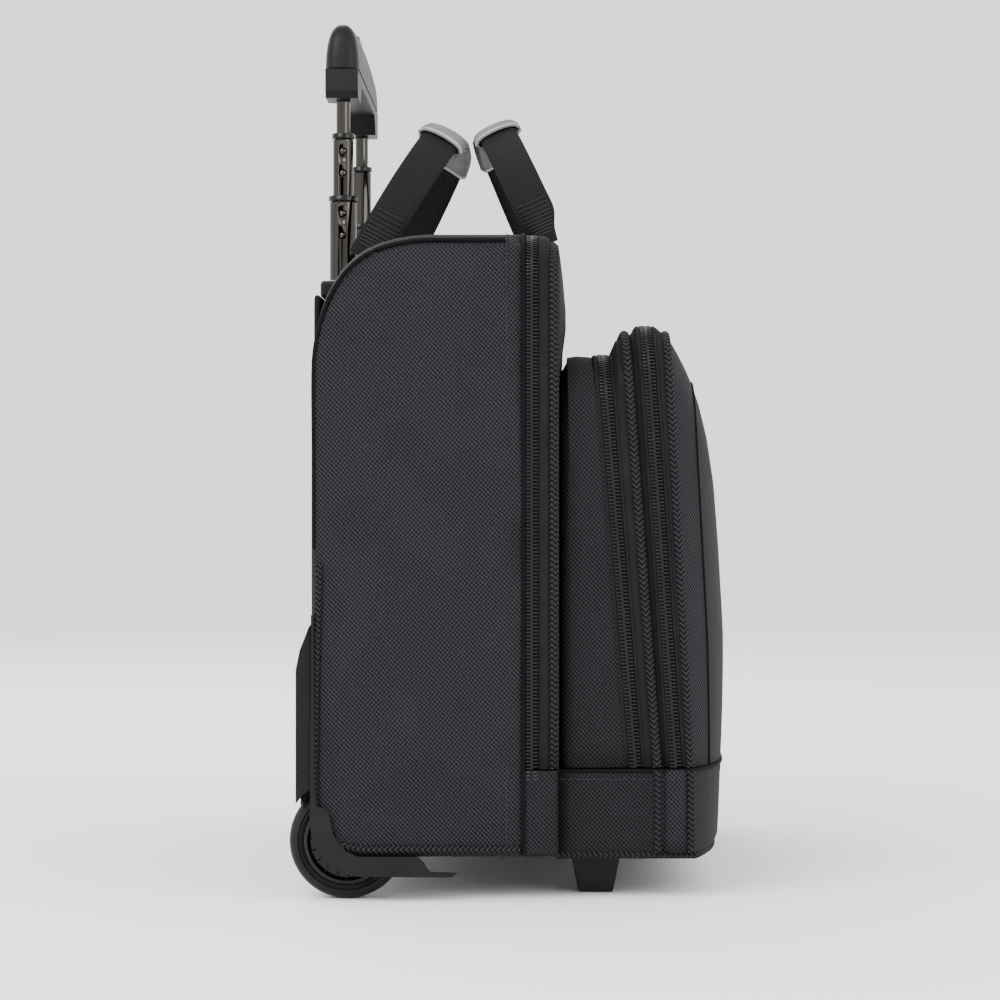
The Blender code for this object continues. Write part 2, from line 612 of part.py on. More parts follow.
def make_front_bases():
    """The sewn-up lower ends of the sections, which don't open."""
    low, high = FLOOR_Z, FOLD_Z - GAP
    back = RIM_Y - GAP
    outline = [(-HALF_WIDTH, back), (-HALF_WIDTH, PANEL_Y + 0.004), (-HALF_WIDTH + 0.004, PANEL_Y),
               (HALF_WIDTH - 0.004, PANEL_Y), (HALF_WIDTH, PANEL_Y + 0.004), (HALF_WIDTH, back)]
    band = prism("main_base_band", outline, low, high, "Z", FABRIC_LOOK)
    inside = HALF_WIDTH - WALL
    cut(band, box("band_inside", (-inside, PANEL_Y + WALL, low + WALL), (inside, 0.01, 0.10), CUTTER_LOOK))

    rings = []
    heights = (POCKET_FLOOR_Z, 0.0235, 0.0280, 0.0400, 0.0560, high)
    for z in heights:
        tuck = 0.004 * max(0.0, 1 - (z - POCKET_FLOOR_Z) / 0.005)
        half = POCKET_HALF_WIDTH - tuck
        front = POCKET_PIPING[0] + POCKET_PIPING[1] * (z - FOLD_Z)
        depth = DOME_DEPTH * low_bulge(z) - tuck
        ring = [Vector((half, POCKET_BACK_Y - tuck, z)), Vector((-half, POCKET_BACK_Y - tuck, z))]
        for step in range(15):
            x = -half + 2 * half * step / 14
            # points bunch near the ends, where the face turns fastest
            x = half * math.sin(math.pi / 2 * x / half)
            ring.append(Vector((x, front - depth * (1 - abs(x / half) ** DOME_POWER), z)))
        rings.append(ring)
    finish_mesh("front_base", skin(rings), FABRIC_LOOK)


# ------------------------------------------------------------ zipper sliders
def make_slider(name, x, y, z, way):
    """A slider astride the teeth, and its pull, which lies along the zipper."""
    low = z + GAP
    body = box(name + "_slider", (x - 0.006, y - 0.0042, low), (x + 0.006, y + 0.0042, low + 0.0036),
               (CHROME, 0.30, 1.0), (x, y, low))
    soften(body, 0.0008)
    pin = (x + way * 0.0075, y, low + 0.0041)
    ends = sorted((pin[0] + way * 0.0006, pin[0] + way * 0.0250))
    pull = box(name + "_pull", (ends[0], y - 0.0032, pin[2] - 0.0007),
               (ends[1], y + 0.0032, pin[2] + 0.0007), (CHROME, 0.35, 1.0), pin)
    soften(pull, 0.0005, 1)


def make_sliders():
    make_slider("main_left", -0.0100, MAIN_ZIP_Y, TOP_Z - 0.0005, -1)
    make_slider("main_right", 0.0100, MAIN_ZIP_Y, TOP_Z - 0.0005, 1)
    for name, plane in (("organizer", ORGANIZER_ZIP), ("pocket", POCKET_ZIP)):
        y_fold, lean, top = plane
        make_slider(name, 0.0, y_fold + lean * (top - FOLD_Z), top + 0.0002, 1)


def main():
    clear_scene()
    make_main_shell()
    make_boards()
    make_kick_plate()
    for side, sign in SIDES:
        make_wheel_side(side, sign)
    make_telescopic_handle()
    make_grip()
    make_carry_handle("rear_handle", REAR_HANDLE)
    make_carry_handle("front_handle", FRONT_HANDLE)
    make_front_section()
    make_pocket_cover()
    make_front_bases()
    make_sliders()


main()
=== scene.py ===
"""Looks of the rolling laptop case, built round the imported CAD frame."""
import math

import bmesh
import bpy
from mathutils import Matrix, Vector, noise


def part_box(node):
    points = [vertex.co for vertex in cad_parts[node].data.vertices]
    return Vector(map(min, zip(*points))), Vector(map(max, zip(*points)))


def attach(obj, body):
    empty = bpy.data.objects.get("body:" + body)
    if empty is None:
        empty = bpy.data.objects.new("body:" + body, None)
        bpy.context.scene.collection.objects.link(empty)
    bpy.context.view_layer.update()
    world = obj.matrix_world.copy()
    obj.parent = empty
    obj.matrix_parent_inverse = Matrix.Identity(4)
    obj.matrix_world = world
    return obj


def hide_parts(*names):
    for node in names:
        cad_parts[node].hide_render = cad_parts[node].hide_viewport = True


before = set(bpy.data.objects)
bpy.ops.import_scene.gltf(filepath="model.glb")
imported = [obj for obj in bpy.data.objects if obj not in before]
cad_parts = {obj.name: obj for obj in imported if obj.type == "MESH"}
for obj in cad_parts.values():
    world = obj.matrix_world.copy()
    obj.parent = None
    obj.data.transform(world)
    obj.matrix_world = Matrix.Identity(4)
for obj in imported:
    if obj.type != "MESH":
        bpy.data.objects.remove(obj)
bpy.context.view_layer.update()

# ---------------------------------------------------------------- dimensions
HALF_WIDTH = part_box("main_shell")[1][0]
BACK_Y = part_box("main_shell")[1][1]
RIM_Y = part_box("main_shell")[0][1]
FLOOR_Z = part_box("main_shell")[0][2]
TOP_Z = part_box("main_shell")[1][2]
HEEL_RADIUS = 0.028
BACK_CURVE_Z = 0.290
TOP_CURVE_Y = 0.049
TOP_CORNER = 0.028
SIDE_CENTRE_Z = 0.200       # side panels shrink towards this point of the rim

FOLD_Z = 0.0735             # the covers fold here
COVER_LOW = FOLD_Z + 0.0005  # and their cloth starts just above
MAIN_ZIP_Y = -0.0114
COIL_HALF = 0.0045
PANEL_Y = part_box("front_panel")[0][1]

# Front pockets: (Y at the fold, lean back per metre of height, top Z)
POCKET_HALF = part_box("organizer_gusset")[1][0]
POCKET_CORNER = 0.030
ORGANIZER_ZIP = (-0.0697, 0.078, 0.3070)
ORGANIZER_PIPING = (-0.0822, 0.073, 0.3190)
POCKET_ZIP = (-0.0924, 0.067, 0.3235)
POCKET_PIPING = (-0.1008, 0.054, 0.3190)
DOME_DEPTH = 0.0280
DOME_POWER = 6
POCKET_FLOOR_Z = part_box("front_base")[0][2]

SHARP_ANGLE = 38            # degrees between faces that stay unsmoothed
CLOTH = 0.0016              # thickness of the covers' cloth
SHELL_CLOTH = 0.0030        # and of the padded main section
TRIM_STEP = 0.004           # spacing of points along pipings
TOOTH_PITCH, TOOTH_WIDTH = 0.0020, 0.00085
STITCH_STEP = 0.0011        # spacing of points along rows of stitches
STITCH_WIDTH = 0.0007
STITCH_LENGTH, STITCH_PITCH = 3, 4      # in steps

# Cloth simulation of the pads
SIMULATED_FRAMES = 20
PAD_PRESSURE = 4.0
PAD_COLUMNS, PAD_LEVELS = 60, 40
PAD_REACH = 0.38            # share of the half thickness that a point may move

WHEEL_RADIUS = 0.0327
AXLE = (0.0923, 0.0327)
WHEEL_X = (0.1815, 0.2015)
WELL_RADIUS = 0.0390
WELL_X = (0.1740, 0.2095)
TUBE_WINDOW = ((-0.1178, 0.0897, 0.30), (0.1178, 0.15, 0.42))

# Telescopic handle: outer radius, inner radius, bottom and top of each stage
TUBE_X, TUBE_Y = 0.090, 0.1019
STAGES = {"a": ("stage_a", 0.0081, 0.0066, 0.1157, 0.4057),
          "b": ("stage_b", 0.0061, 0.0046, 0.1531, 0.4431),
          "c": ("grip", 0.0041, 0.0031, 0.1750, 0.4700)}
COLLAR = 0.0036
LOCK_DROPS = (0.0108, 0.0239)   # lock buttons below a stage's top
LOCK_RADIUS = 0.0019
LOCK_HOLE_RADIUS = 0.0024
BUTTON_PRESS = 0.004

# Carry handles: (base Y, base Z, lean towards the front in degrees, height, width share at the foot)
REAR_HANDLE = (0.0869, 0.3660, 29.0, 0.0965, 1.0)
FRONT_HANDLE = (-0.0212, 0.3755, -24.0, 0.0850, 0.5)
HANDLE_FOOT_X = 0.112
STRAP_HALF_WIDTH = 0.0114
WRAP_END_X = -0.0680
STITCHED_RIB = 0.0009
# Sections along the arch: (extra half width, thickness, drop at the edges)
WEB_SECTION = (0.0, 0.0026, 0.0008)
SLEEVE_SECTION = (0.0032, 0.0072, 0.0022)
BINDING_SECTION = (0.0034, 0.0078, 0.0022)

# Grip of the telescopic handle
GRIP_TOP_Z, GRIP_CROWN, GRIP_HALF_DEPTH = 0.5064, 0.0056, 0.0100
GRIP_COLUMNS, GRIP_SIDES = 44, 32
SLOT_ROOM = 0.0006          # round the release button

HUB_RIBS = 20
KICK_RIBS, KICK_RIB_X, KICK_RIB_Z = 9, 0.150, (0.058, 0.122)
SIDE_CORNER = 0.007         # radius along the back and the floor

CAMERA_PLACE = (-1.870, -0.0194, 0.2241)
CAMERA_LENS, SENSOR_WIDTH = 107.1, 36.0     # millimetres
CAMERA_SHIFT = -0.046

# Lights: (name, place, size in metres, watts)
LIGHTS = (("key", (-1.9, 1.3, 1.9), 1.6, 70.0),
          ("fill", (-1.7, -1.9, 1.2), 1.8, 38.0),
          ("back", (1.6, 0.8, 1.8), 1.5, 30.0))
LIGHT_AIM = (0, 0, 0.2)
SURROUND_STRENGTH = 1.7

SIDES = (("left", -1), ("right", 1))


# ------------------------------------------------------------------- materials
class Nodes:
    """Small helper that builds one shader tree."""

    def __init__(self, name):
        self.material = bpy.data.materials.new(name)
        self.material.use_nodes = True
        self.tree = self.material.node_tree
        self.shader = self.tree.nodes["Principled BSDF"]

    def add(self, kind, **values):
        node = self.tree.nodes.new(kind)
        for key, value in values.items():
            setattr(node, key, value)
        return node

    def link(self, source, target):
        self.tree.links.new(source, target)

    def put(self, socket, value):
        if isinstance(value, (int, float)):
            socket.default_value = value
        else:
            self.link(value, socket)

    def math(self, operation, first, second=0.0, third=None):
        node = self.add("ShaderNodeMath", operation=operation)
        self.put(node.inputs[0], first)
        self.put(node.inputs[1], second)
        if third is not None:
            self.put(node.inputs[2], third)
        return node.outputs[0]

    def noise(self, vector, scale, detail=3.0):
        node = self.add("ShaderNodeTexNoise")
        node.inputs["Scale"].default_value = scale
        node.inputs["Detail"].default_value = detail
        self.link(vector, node.inputs["Vector"])
        return node.outputs["Fac"]

    def ramp(self, factor, low, high, first=0.0, last=1.0):
        node = self.add("ShaderNodeValToRGB")
        node.color_ramp.elements[0].position = first
        node.color_ramp.elements[1].position = last
        node.color_ramp.elements[0].color = (*low, 1)
        node.color_ramp.elements[1].color = (*high, 1)
        self.link(factor, node.inputs[0])
        return node.outputs[0]

    def bump(self, height, strength, distance):
        node = self.add("ShaderNodeBump")
        node.inputs["Strength"].default_value = strength
        node.inputs["Distance"].default_value = distance
        self.link(height, node.inputs["Height"])
        self.link(node.outputs[0], self.shader.inputs["Normal"])

    def finish(self, colour, roughness, metallic=0.0, shine=0.5):
        if isinstance(colour, tuple):
            self.shader.inputs["Base Color"].default_value = (*colour, 1)
        else:
            self.link(colour, self.shader.inputs["Base Color"])
        self.put(self.shader.inputs["Roughness"], roughness)
        self.shader.inputs["Metallic"].default_value = metallic
        self.shader.inputs["Specular IOR Level"].default_value = shine
        return self.material


def surface_uv(nodes):
    """Two lengths along the surface in metres, picked by which way it faces."""
    coords = nodes.add("ShaderNodeTexCoord").outputs["Object"]
    place = nodes.add("ShaderNodeSeparateXYZ")
    nodes.link(coords, place.inputs[0])
    facing = nodes.add("ShaderNodeSeparateXYZ")
    normal = nodes.add("ShaderNodeTexCoord").outputs["Normal"]
    nodes.link(normal, facing.inputs[0])
    x, y, z = place.outputs
    side = nodes.math("GREATER_THAN", nodes.math("ABSOLUTE", facing.outputs[0]), 0.62)
    level = nodes.math("GREATER_THAN", nodes.math("ABSOLUTE", facing.outputs[2]), 0.72)
    u = nodes.math("ADD", nodes.math("MULTIPLY", y, side),
                   nodes.math("MULTIPLY", x, nodes.math("SUBTRACT", 1.0, side)))
    v = nodes.math("ADD", nodes.math("MULTIPLY", y, level),
                   nodes.math("MULTIPLY", z, nodes.math("SUBTRACT", 1.0, level)))
    return coords, u, v


def path_uv(nodes):
    """Lengths along and across a strip, from its UV map."""
    node = nodes.add("ShaderNodeUVMap", uv_map="path")
    place = nodes.add("ShaderNodeSeparateXYZ")
    nodes.link(node.outputs[0], place.inputs[0])
    return node.outputs[0], place.outputs[0], place.outputs[1]


def weave(name, low, high, pitch=0.0018, bump=0.0005):
    """Ballistic weave: strong diagonal ridges broken into short crossing yarns, with painted highlights
    on the yarn tops and painted shade in the gaps.
    """
    nodes = Nodes(name)
    coords, u, v = surface_uv(nodes)
    wave = 2 * math.pi / pitch
    slant = nodes.math("MULTIPLY", nodes.math("SUBTRACT", u, v), wave * 0.7071)
    breaks = nodes.math("MULTIPLY", nodes.math("MULTIPLY_ADD", u, 1.25, v), wave * 0.62)
    ridges = nodes.math("MULTIPLY", nodes.math("SINE", slant), 0.62)
    yarns = nodes.math("MULTIPLY_ADD", nodes.math("SINE", breaks), 0.38, ridges)
    cloudy = nodes.noise(coords, 28.0)
    flecks = nodes.noise(coords, 900.0, 1.0)
    height = nodes.math("MULTIPLY_ADD", yarns, 0.36, 0.5)
    # painted highlight and shade: the colour follows the yarn height, paler on the tops and darker in
    # the gaps; flecks and cloudy noise add random tone
    shade = nodes.math("MULTIPLY_ADD", flecks, 0.30, nodes.math("SUBTRACT", height, 0.15))
    shade = nodes.math("MULTIPLY_ADD", cloudy, 0.14, nodes.math("SUBTRACT", shade, 0.07))
    colour = nodes.ramp(shade, low, high, 0.18, 0.92)
    nodes.bump(height, 0.55, bump)
    return nodes.finish(colour, nodes.math("MULTIPLY_ADD", height, -0.2, 0.85), shine=0.10)


def chevron(name, low, high, pitch=0.0030):
    """Woven edging: short slanted yarns that mirror along the middle."""
    nodes = Nodes(name)
    coords, u, v = path_uv(nodes)
    fold = nodes.math("ABSOLUTE", nodes.math("SUBTRACT", nodes.math("FRACT",
                      nodes.math("MULTIPLY", v, 1 / 0.0046)), 0.5))
    slant = nodes.math("MULTIPLY_ADD", fold, 1.6, nodes.math("MULTIPLY", u, 1 / pitch))
    yarns = nodes.math("SINE", nodes.math("MULTIPLY", slant, 2 * math.pi))
    height = nodes.math("MULTIPLY_ADD", yarns, 0.5, 0.5)
    flecks = nodes.noise(coords, 700.0, 1.0)
    colour = nodes.ramp(nodes.math("MULTIPLY_ADD", flecks, 0.3, nodes.math("SUBTRACT", height, 0.15)),
                        low, high, 0.1, 0.95)
    nodes.bump(height, 0.6, 0.0006)
    return nodes.finish(colour, 0.78, shine=0.10)


def plain_cloth(name, low, high, shine=0.10):
    """Tightly woven plain tape, with soft cloudy wear."""
    nodes = Nodes(name)
    coords = nodes.add("ShaderNodeTexCoord").outputs["Object"]
    fine = nodes.noise(coords, 1500.0, 2.0)
    cloudy = nodes.noise(coords, 60.0)
    shade = nodes.math("MULTIPLY_ADD", cloudy, 0.5, nodes.math("MULTIPLY", fine, 0.5))
    nodes.bump(fine, 0.35, 0.0003)
    return nodes.finish(nodes.ramp(shade, low, high, 0.3, 0.7), 0.82, shine=shine)


def ribbed(name, low, high, pitch=0.0016):
    """Webbing: ribs across the strap, crossed by fine yarns along it."""
    nodes = Nodes(name)
    coords, u, v = path_uv(nodes)
    ribs = nodes.math("SINE", nodes.math("MULTIPLY", u, 2 * math.pi / pitch))
    yarns = nodes.math("SINE", nodes.math("MULTIPLY", v, 2 * math.pi / 0.0019))
    weft = nodes.math("MULTIPLY", ribs, yarns)
    height = nodes.math("MULTIPLY_ADD", weft, 0.4, 0.5)
    flecks = nodes.noise(coords, 800.0, 1.0)
    shade = nodes.math("MULTIPLY_ADD", flecks, 0.35, nodes.math("SUBTRACT", height, 0.17))
    nodes.bump(height, 0.6, 0.0005)
    return nodes.finish(nodes.ramp(shade, low, high, 0.1, 0.95), 0.8, shine=0.10)


def moulded(name, colour, roughness, grain=0.25, wear=0.3, shine=0.3):
    """Moulded plastic or rubber: fine grain, slightly paler on worn edges."""
    nodes = Nodes(name)
    coords = nodes.add("ShaderNodeTexCoord").outputs["Object"]
    fine = nodes.noise(coords, 1400.0, 2.0)
    cloudy = nodes.noise(coords, 35.0)
    edges = nodes.add("ShaderNodeNewGeometry").outputs["Pointiness"]
    worn = nodes.math("MULTIPLY_ADD", edges, wear, nodes.math("MULTIPLY", cloudy, 0.4))
    pale = tuple(min(1.0, c * 1.9 + 0.004) for c in colour)
    nodes.bump(fine, grain, 0.0003)
    rough = nodes.math("MULTIPLY_ADD", cloudy, 0.14, roughness - 0.07)
    return nodes.finish(nodes.ramp(worn, colour, pale, 0.2, 0.6), rough, shine=shine)


def metal(name, colour, roughness):
    """Metal with fine brushing along Z."""
    nodes = Nodes(name)
    coords = nodes.add("ShaderNodeTexCoord").outputs["Object"]
    stretched = nodes.add("ShaderNodeMapping")
    stretched.inputs["Scale"].default_value = (1.0, 1.0, 0.03)
    nodes.link(coords, stretched.inputs[0])
    brushed = nodes.noise(stretched.outputs[0], 900.0, 2.0)
    rough = nodes.math("MULTIPLY_ADD", brushed, 0.12, roughness - 0.06)
    pale = tuple(c * 1.35 for c in colour)
    return nodes.finish(nodes.ramp(brushed, colour, pale, 0.3, 0.7), rough, metallic=1.0)


def make_looks():
    """All the object's materials, by look."""
    looks = {}
    looks["weave"] = weave("ballistic_weave", (0.0006, 0.0006, 0.0008), (0.026, 0.0268, 0.031))
    looks["weave_dark"] = weave("gusset_weave", (0.0006, 0.0006, 0.0008), (0.020, 0.0206, 0.0235))
    looks["edging"] = chevron("woven_edging", (0.0008, 0.0008, 0.0010), (0.020, 0.0206, 0.0235))
    looks["tape"] = plain_cloth("zipper_tape", (0.0050, 0.0051, 0.0058), (0.0105, 0.0107, 0.0120))
    looks["tape_dark"] = plain_cloth("seam_tape", (0.0015, 0.0015, 0.0018), (0.004, 0.004, 0.005))
    looks["lining"] = plain_cloth("lining_cloth", (0.040, 0.041, 0.045), (0.070, 0.071, 0.077))
    looks["webbing"] = ribbed("handle_webbing", (0.0008, 0.0008, 0.0010), (0.017, 0.0175, 0.019))
    looks["wrap"] = plain_cloth("wrap_cloth", (0.110, 0.112, 0.118), (0.175, 0.177, 0.184))
    looks["wrap_edge"] = plain_cloth("wrap_binding", (0.26, 0.26, 0.27), (0.36, 0.36, 0.37))
    looks["coil"] = moulded("nylon_coil", (0.0080, 0.0080, 0.0088), 0.38, 0.1, shine=0.3)
    looks["thread"] = plain_cloth("sewing_thread", (0.014, 0.014, 0.016), (0.030, 0.030, 0.034))
    looks["plastic"] = moulded("black_plastic", (0.0034, 0.0034, 0.0038), 0.44, shine=0.14)
    looks["glossy"] = moulded("smooth_plastic", (0.0026, 0.0026, 0.0030), 0.20, 0.06, shine=0.22)
    looks["rubber"] = moulded("wheel_rubber", (0.0040, 0.0040, 0.0042), 0.5, 0.2, shine=0.16)
    looks["tube"] = metal("dark_chrome", (0.046, 0.043, 0.039), 0.11)
    looks["steel"] = metal("bare_steel", (0.42, 0.42, 0.43), 0.33)
    looks["pulls"] = metal("plated_zinc", (0.09, 0.09, 0.09), 0.28)
    return looks


LOOKS = make_looks()


# ------------------------------------------------------------------- mesh tools
def add_object(name, data):
    item = bpy.data.objects.new(name, data)
    bpy.context.scene.collection.objects.link(item)
    return item


def add_piece(name, mesh, look, body, replaces=()):
    """Put a mesh on a body, in one look, in place of the named CAD nodes."""
    piece = add_object(name, mesh)
    mesh.materials.append(LOOKS[look])
    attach(piece, body)
    if replaces:
        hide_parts(*replaces)
    return piece


def new_mesh(name, mesh_data):
    """Turn finished bmesh data into a mesh."""
    mesh = bpy.data.meshes.new(name)
    mesh_data.to_mesh(mesh)
    mesh_data.free()
    return mesh


def build_mesh(name, rows, closed=False, capped=False):
    """Quads between rows of points, with a UV map of lengths along and across."""
    mesh_data = bmesh.new()
    layer = mesh_data.loops.layers.uv.new("path")
    lines = [[mesh_data.verts.new(point) for point in row] for row in rows]
    count = len(rows[0])
    along = [0.0]
    middle = rows[len(rows) // 2]
    for i in range(count if closed else count - 1):
        along.append(along[-1] + (Vector(middle[(i + 1) % count]) - Vector(middle[i])).length)
    across = [0.0]
    for low, high in zip(rows, rows[1:]):
        gaps = [(Vector(a) - Vector(b)).length for a, b in zip(low, high)]
        across.append(across[-1] + sum(gaps) / len(gaps))
    for j in range(len(rows) - 1):
        for i in range(count if closed else count - 1):
            k = (i + 1) % count
            corners = (lines[j][i], lines[j][k], lines[j + 1][k], lines[j + 1][i])
            if len(set(corners)) < 4:
                continue
            face = mesh_data.faces.new(corners)
            places = ((along[i], across[j]), (along[i + 1], across[j]),
                      (along[i + 1], across[j + 1]), (along[i], across[j + 1]))
            for loop, place in zip(face.loops, places):
                loop[layer].uv = place
    if capped:
        mesh_data.faces.new(lines[0])
        mesh_data.faces.new(lines[-1])
    bmesh.ops.remove_doubles(mesh_data, verts=mesh_data.verts, dist=0.00001)
    bmesh.ops.recalc_face_normals(mesh_data, faces=mesh_data.faces)
    mesh = new_mesh(name, mesh_data)
    mesh.shade_smooth()
    mesh.set_sharp_from_angle(angle=math.radians(SHARP_ANGLE))
    return mesh


def thicken(piece, thickness, offset=-1.0):
    """Cloth thickness: inwards at offset -1, outwards at 1, both ways at 0."""
    modifier = piece.modifiers.new("thickness", "SOLIDIFY")
    modifier.thickness = thickness
    modifier.offset = offset
    modifier.use_even_offset = False


def bevel(piece, width, segments=3):
    """Round the sharp edges."""
    weld = piece.modifiers.new("weld", "WELD")
    weld.merge_threshold = 0.00001
    modifier = piece.modifiers.new("edges", "BEVEL")
    modifier.width = width
    modifier.segments = segments
    modifier.limit_method = "ANGLE"
    modifier.angle_limit = math.radians(35)
    modifier.harden_normals = False


def arc(centre, radius, start, stop, steps):
    """Points (u, v) round a circle between two angles in degrees."""
    points = []
    for step in range(steps + 1):
        angle = math.radians(start + (stop - start) * step / steps)
        points.append((centre[0] + radius * math.cos(angle), centre[1] + radius * math.sin(angle)))
    return points


def bezier(first, second, third, fourth, steps):
    """Points (u, v) along a cubic curve."""
    points = []
    for step in range(steps + 1):
        t = step / steps
        weights = ((1 - t) ** 3, 3 * t * (1 - t) ** 2, 3 * t * t * (1 - t), t ** 3)
        knots = (first, second, third, fourth)
        points.append(tuple(sum(w * k[i] for w, k in zip(weights, knots)) for i in (0, 1)))
    return points


def resample(points, spacing, closed=False):
    """Even points along a polyline, its two ends kept."""
    points = [Vector(p) for p in points]
    if closed:
        points.append(points[0])
    lengths = [0.0]
    for a, b in zip(points, points[1:]):
        lengths.append(lengths[-1] + (b - a).length)
    count = max(2, round(lengths[-1] / spacing))
    result, at = [], 0
    for step in range(count + 1):
        goal = lengths[-1] * step / count
        while at < len(points) - 2 and lengths[at + 1] < goal:
            at += 1
        run = lengths[at + 1] - lengths[at]
        share = (goal - lengths[at]) / run if run else 0.0
        result.append(points[at].lerp(points[at + 1], min(1.0, share)))
    return result[:-1] if closed else result


def tube_rows(path, radius, sides=10, closed=False):
    """Rings round a path, as rows that run along it (so U is the length)."""
    rows = [[] for _ in range(sides + 1)]
    count = len(path)
    for i, point in enumerate(path):
        before = path[(i - 1) % count] if closed else path[max(i - 1, 0)]
        after = path[(i + 1) % count] if closed else path[min(i + 1, count - 1)]
        along = (after - before).normalized()
        side = Vector((0, 1, 0)) if abs(along.y) < 0.9 else Vector((1, 0, 0))
        side = (side - along * side.dot(along)).normalized()
        other = along.cross(side)
        for k in range(sides + 1):
            angle = 2 * math.pi * k / sides
            rows[k].append(point + (side * math.cos(angle) + other * math.sin(angle)) * radius)
    return rows


def add_skin(name, rows, look, body, thickness, offset=-1.0, replaces=()):
    """A surface of cloth with a thickness."""
    piece = add_piece(name, build_mesh(name, rows), look, body, replaces)
    thicken(piece, thickness, offset)
    return piece


def add_trim(name, path, radius, look, body, sides=10):
    """A round piping, seam or rib along a path."""
    add_piece(name, build_mesh(name, tube_rows(path, radius, sides)), look, body)


def turned_mesh(name, profile, centre, axis="X", steps=72, closed_profile=True):
    """Spin a (radius, position) profile round an axis."""
    rows = []
    line = list(profile) + ([profile[0]] if closed_profile else [])
    for radius, place in line:
        row = []
        for step in range(steps):
            angle = 2 * math.pi * step / steps
            u = centre[0] + radius * math.cos(angle)
            v = centre[1] + radius * math.sin(angle)
            row.append(Vector((place, u, v)) if axis == "X" else Vector((u, v, place)))
        rows.append(row)
    return build_mesh(name, rows, closed=True, capped=not closed_profile)


def join_parts(name, parts):
    """One mesh from (vertices, faces) lists."""
    vertices, faces = [], []
    for points, sides in parts:
        base = len(vertices)
        vertices += points
        faces += [tuple(base + i for i in side) for side in sides]
    mesh = bpy.data.meshes.new(name)
    mesh.from_pydata([tuple(v) for v in vertices], [], faces)
    mesh.validate()
    mesh.shade_smooth()
    mesh.set_sharp_from_angle(angle=math.radians(50))
    return mesh


def capsule(start, end, width, height, out):
    """A short rounded bar lying on a surface whose outward direction is out."""
    along = (end - start).normalized()
    across = along.cross(out).normalized()
    points = []
    for place, share in ((start - along * width * 0.3, 0.45), (start + along * width * 0.2, 1.0),
                         (end - along * width * 0.2, 1.0), (end + along * width * 0.3, 0.45)):
        for k in range(6):
            angle = math.pi / 3 * k
            points.append(place + across * (math.cos(angle) * width / 2 * share)
                          + out * (math.sin(angle) * height / 2 * share))
    sides = [tuple(range(5, -1, -1)), tuple(range(18, 24))]
    for ring in range(3):
        for k in range(6):
            n = (k + 1) % 6
            sides.append((ring * 6 + k, ring * 6 + n, ring * 6 + 6 + n, ring * 6 + 6 + k))
    return points, sides


def stitches(name, path, outs, body):
    """A row of stitches along a path; outs gives the surface direction at each point."""
    parts = []
    points = resample(path, STITCH_STEP)
    total = len(points)
    for i in range(0, total - STITCH_LENGTH, STITCH_PITCH):
        share = i / (total - 1) * (len(outs) - 1)
        out = outs[round(share)]
        parts.append(capsule(points[i], points[i + STITCH_LENGTH], STITCH_WIDTH, STITCH_WIDTH, out))
    add_piece(name, join_parts(name, parts), "thread", body)


def lean_y(plane, z):
    """Y of a cover's leaning plane at a height."""
    return plane[0] + plane[1] * (z - FOLD_Z)


def u_outline(half, top, corner, low=COVER_LOW):
    """Up the left side, over the top and down the right, as (x, z)."""
    side = [(-half, low + (top - corner - low) * k / 12) for k in range(12)]
    roof = [(-half + corner + 2 * (half - corner) * k / 14, top) for k in range(1, 14)]
    line = side + arc((-half + corner, top - corner), corner, 180, 90, 9) + roof
    line += arc((half - corner, top - corner), corner, 90, 0, 9)
    return line + [(-x, z) for x, z in reversed(side)]


def u_row(half, top, corner, plane, shift=0.0, inset=0.0, low=COVER_LOW):
    """The U outline on a leaning plane, shifted along Y and set inwards."""
    outline = u_outline(half - inset, top - inset, max(0.004, corner - inset), low)
    return [Vector((x, lean_y(plane, z) + shift, z)) for x, z in outline]


def outward(path):
    """Directions away from the middle of a U-shaped path, across its length."""
    result = []
    for i, point in enumerate(path):
        along = (path[min(i + 1, len(path) - 1)] - path[max(i - 1, 0)]).normalized()
        result.append(Vector((-along.z, 0, along.x)).normalized())
    return result


# ------------------------------------------------------------- main section
def side_path():
    """Open side profile of the main section: along the floor, up the back, over the top."""
    heel = (BACK_Y - HEEL_RADIUS, FLOOR_Z + HEEL_RADIUS)
    points = [(RIM_Y, FLOOR_Z)]
    points += arc(heel, HEEL_RADIUS, -90, 0, 10)
    points += bezier((BACK_Y, BACK_CURVE_Z), (BACK_Y, 0.361), (0.083, TOP_Z - 0.0023),
                     (TOP_CURVE_Y, TOP_Z), 14)
    points.append((RIM_Y, TOP_Z))
    return resample([Vector((0, y, z)) for y, z in points], 0.009)


def corner_radius(point):
    """Radius between side panel and wrap: wide on the top, tight at the back and floor."""
    high = min(1.0, max(0.0, (point.z - 0.30) / 0.06))
    return SIDE_CORNER + (TOP_CORNER - SIDE_CORNER) * high * high * (3 - 2 * high)


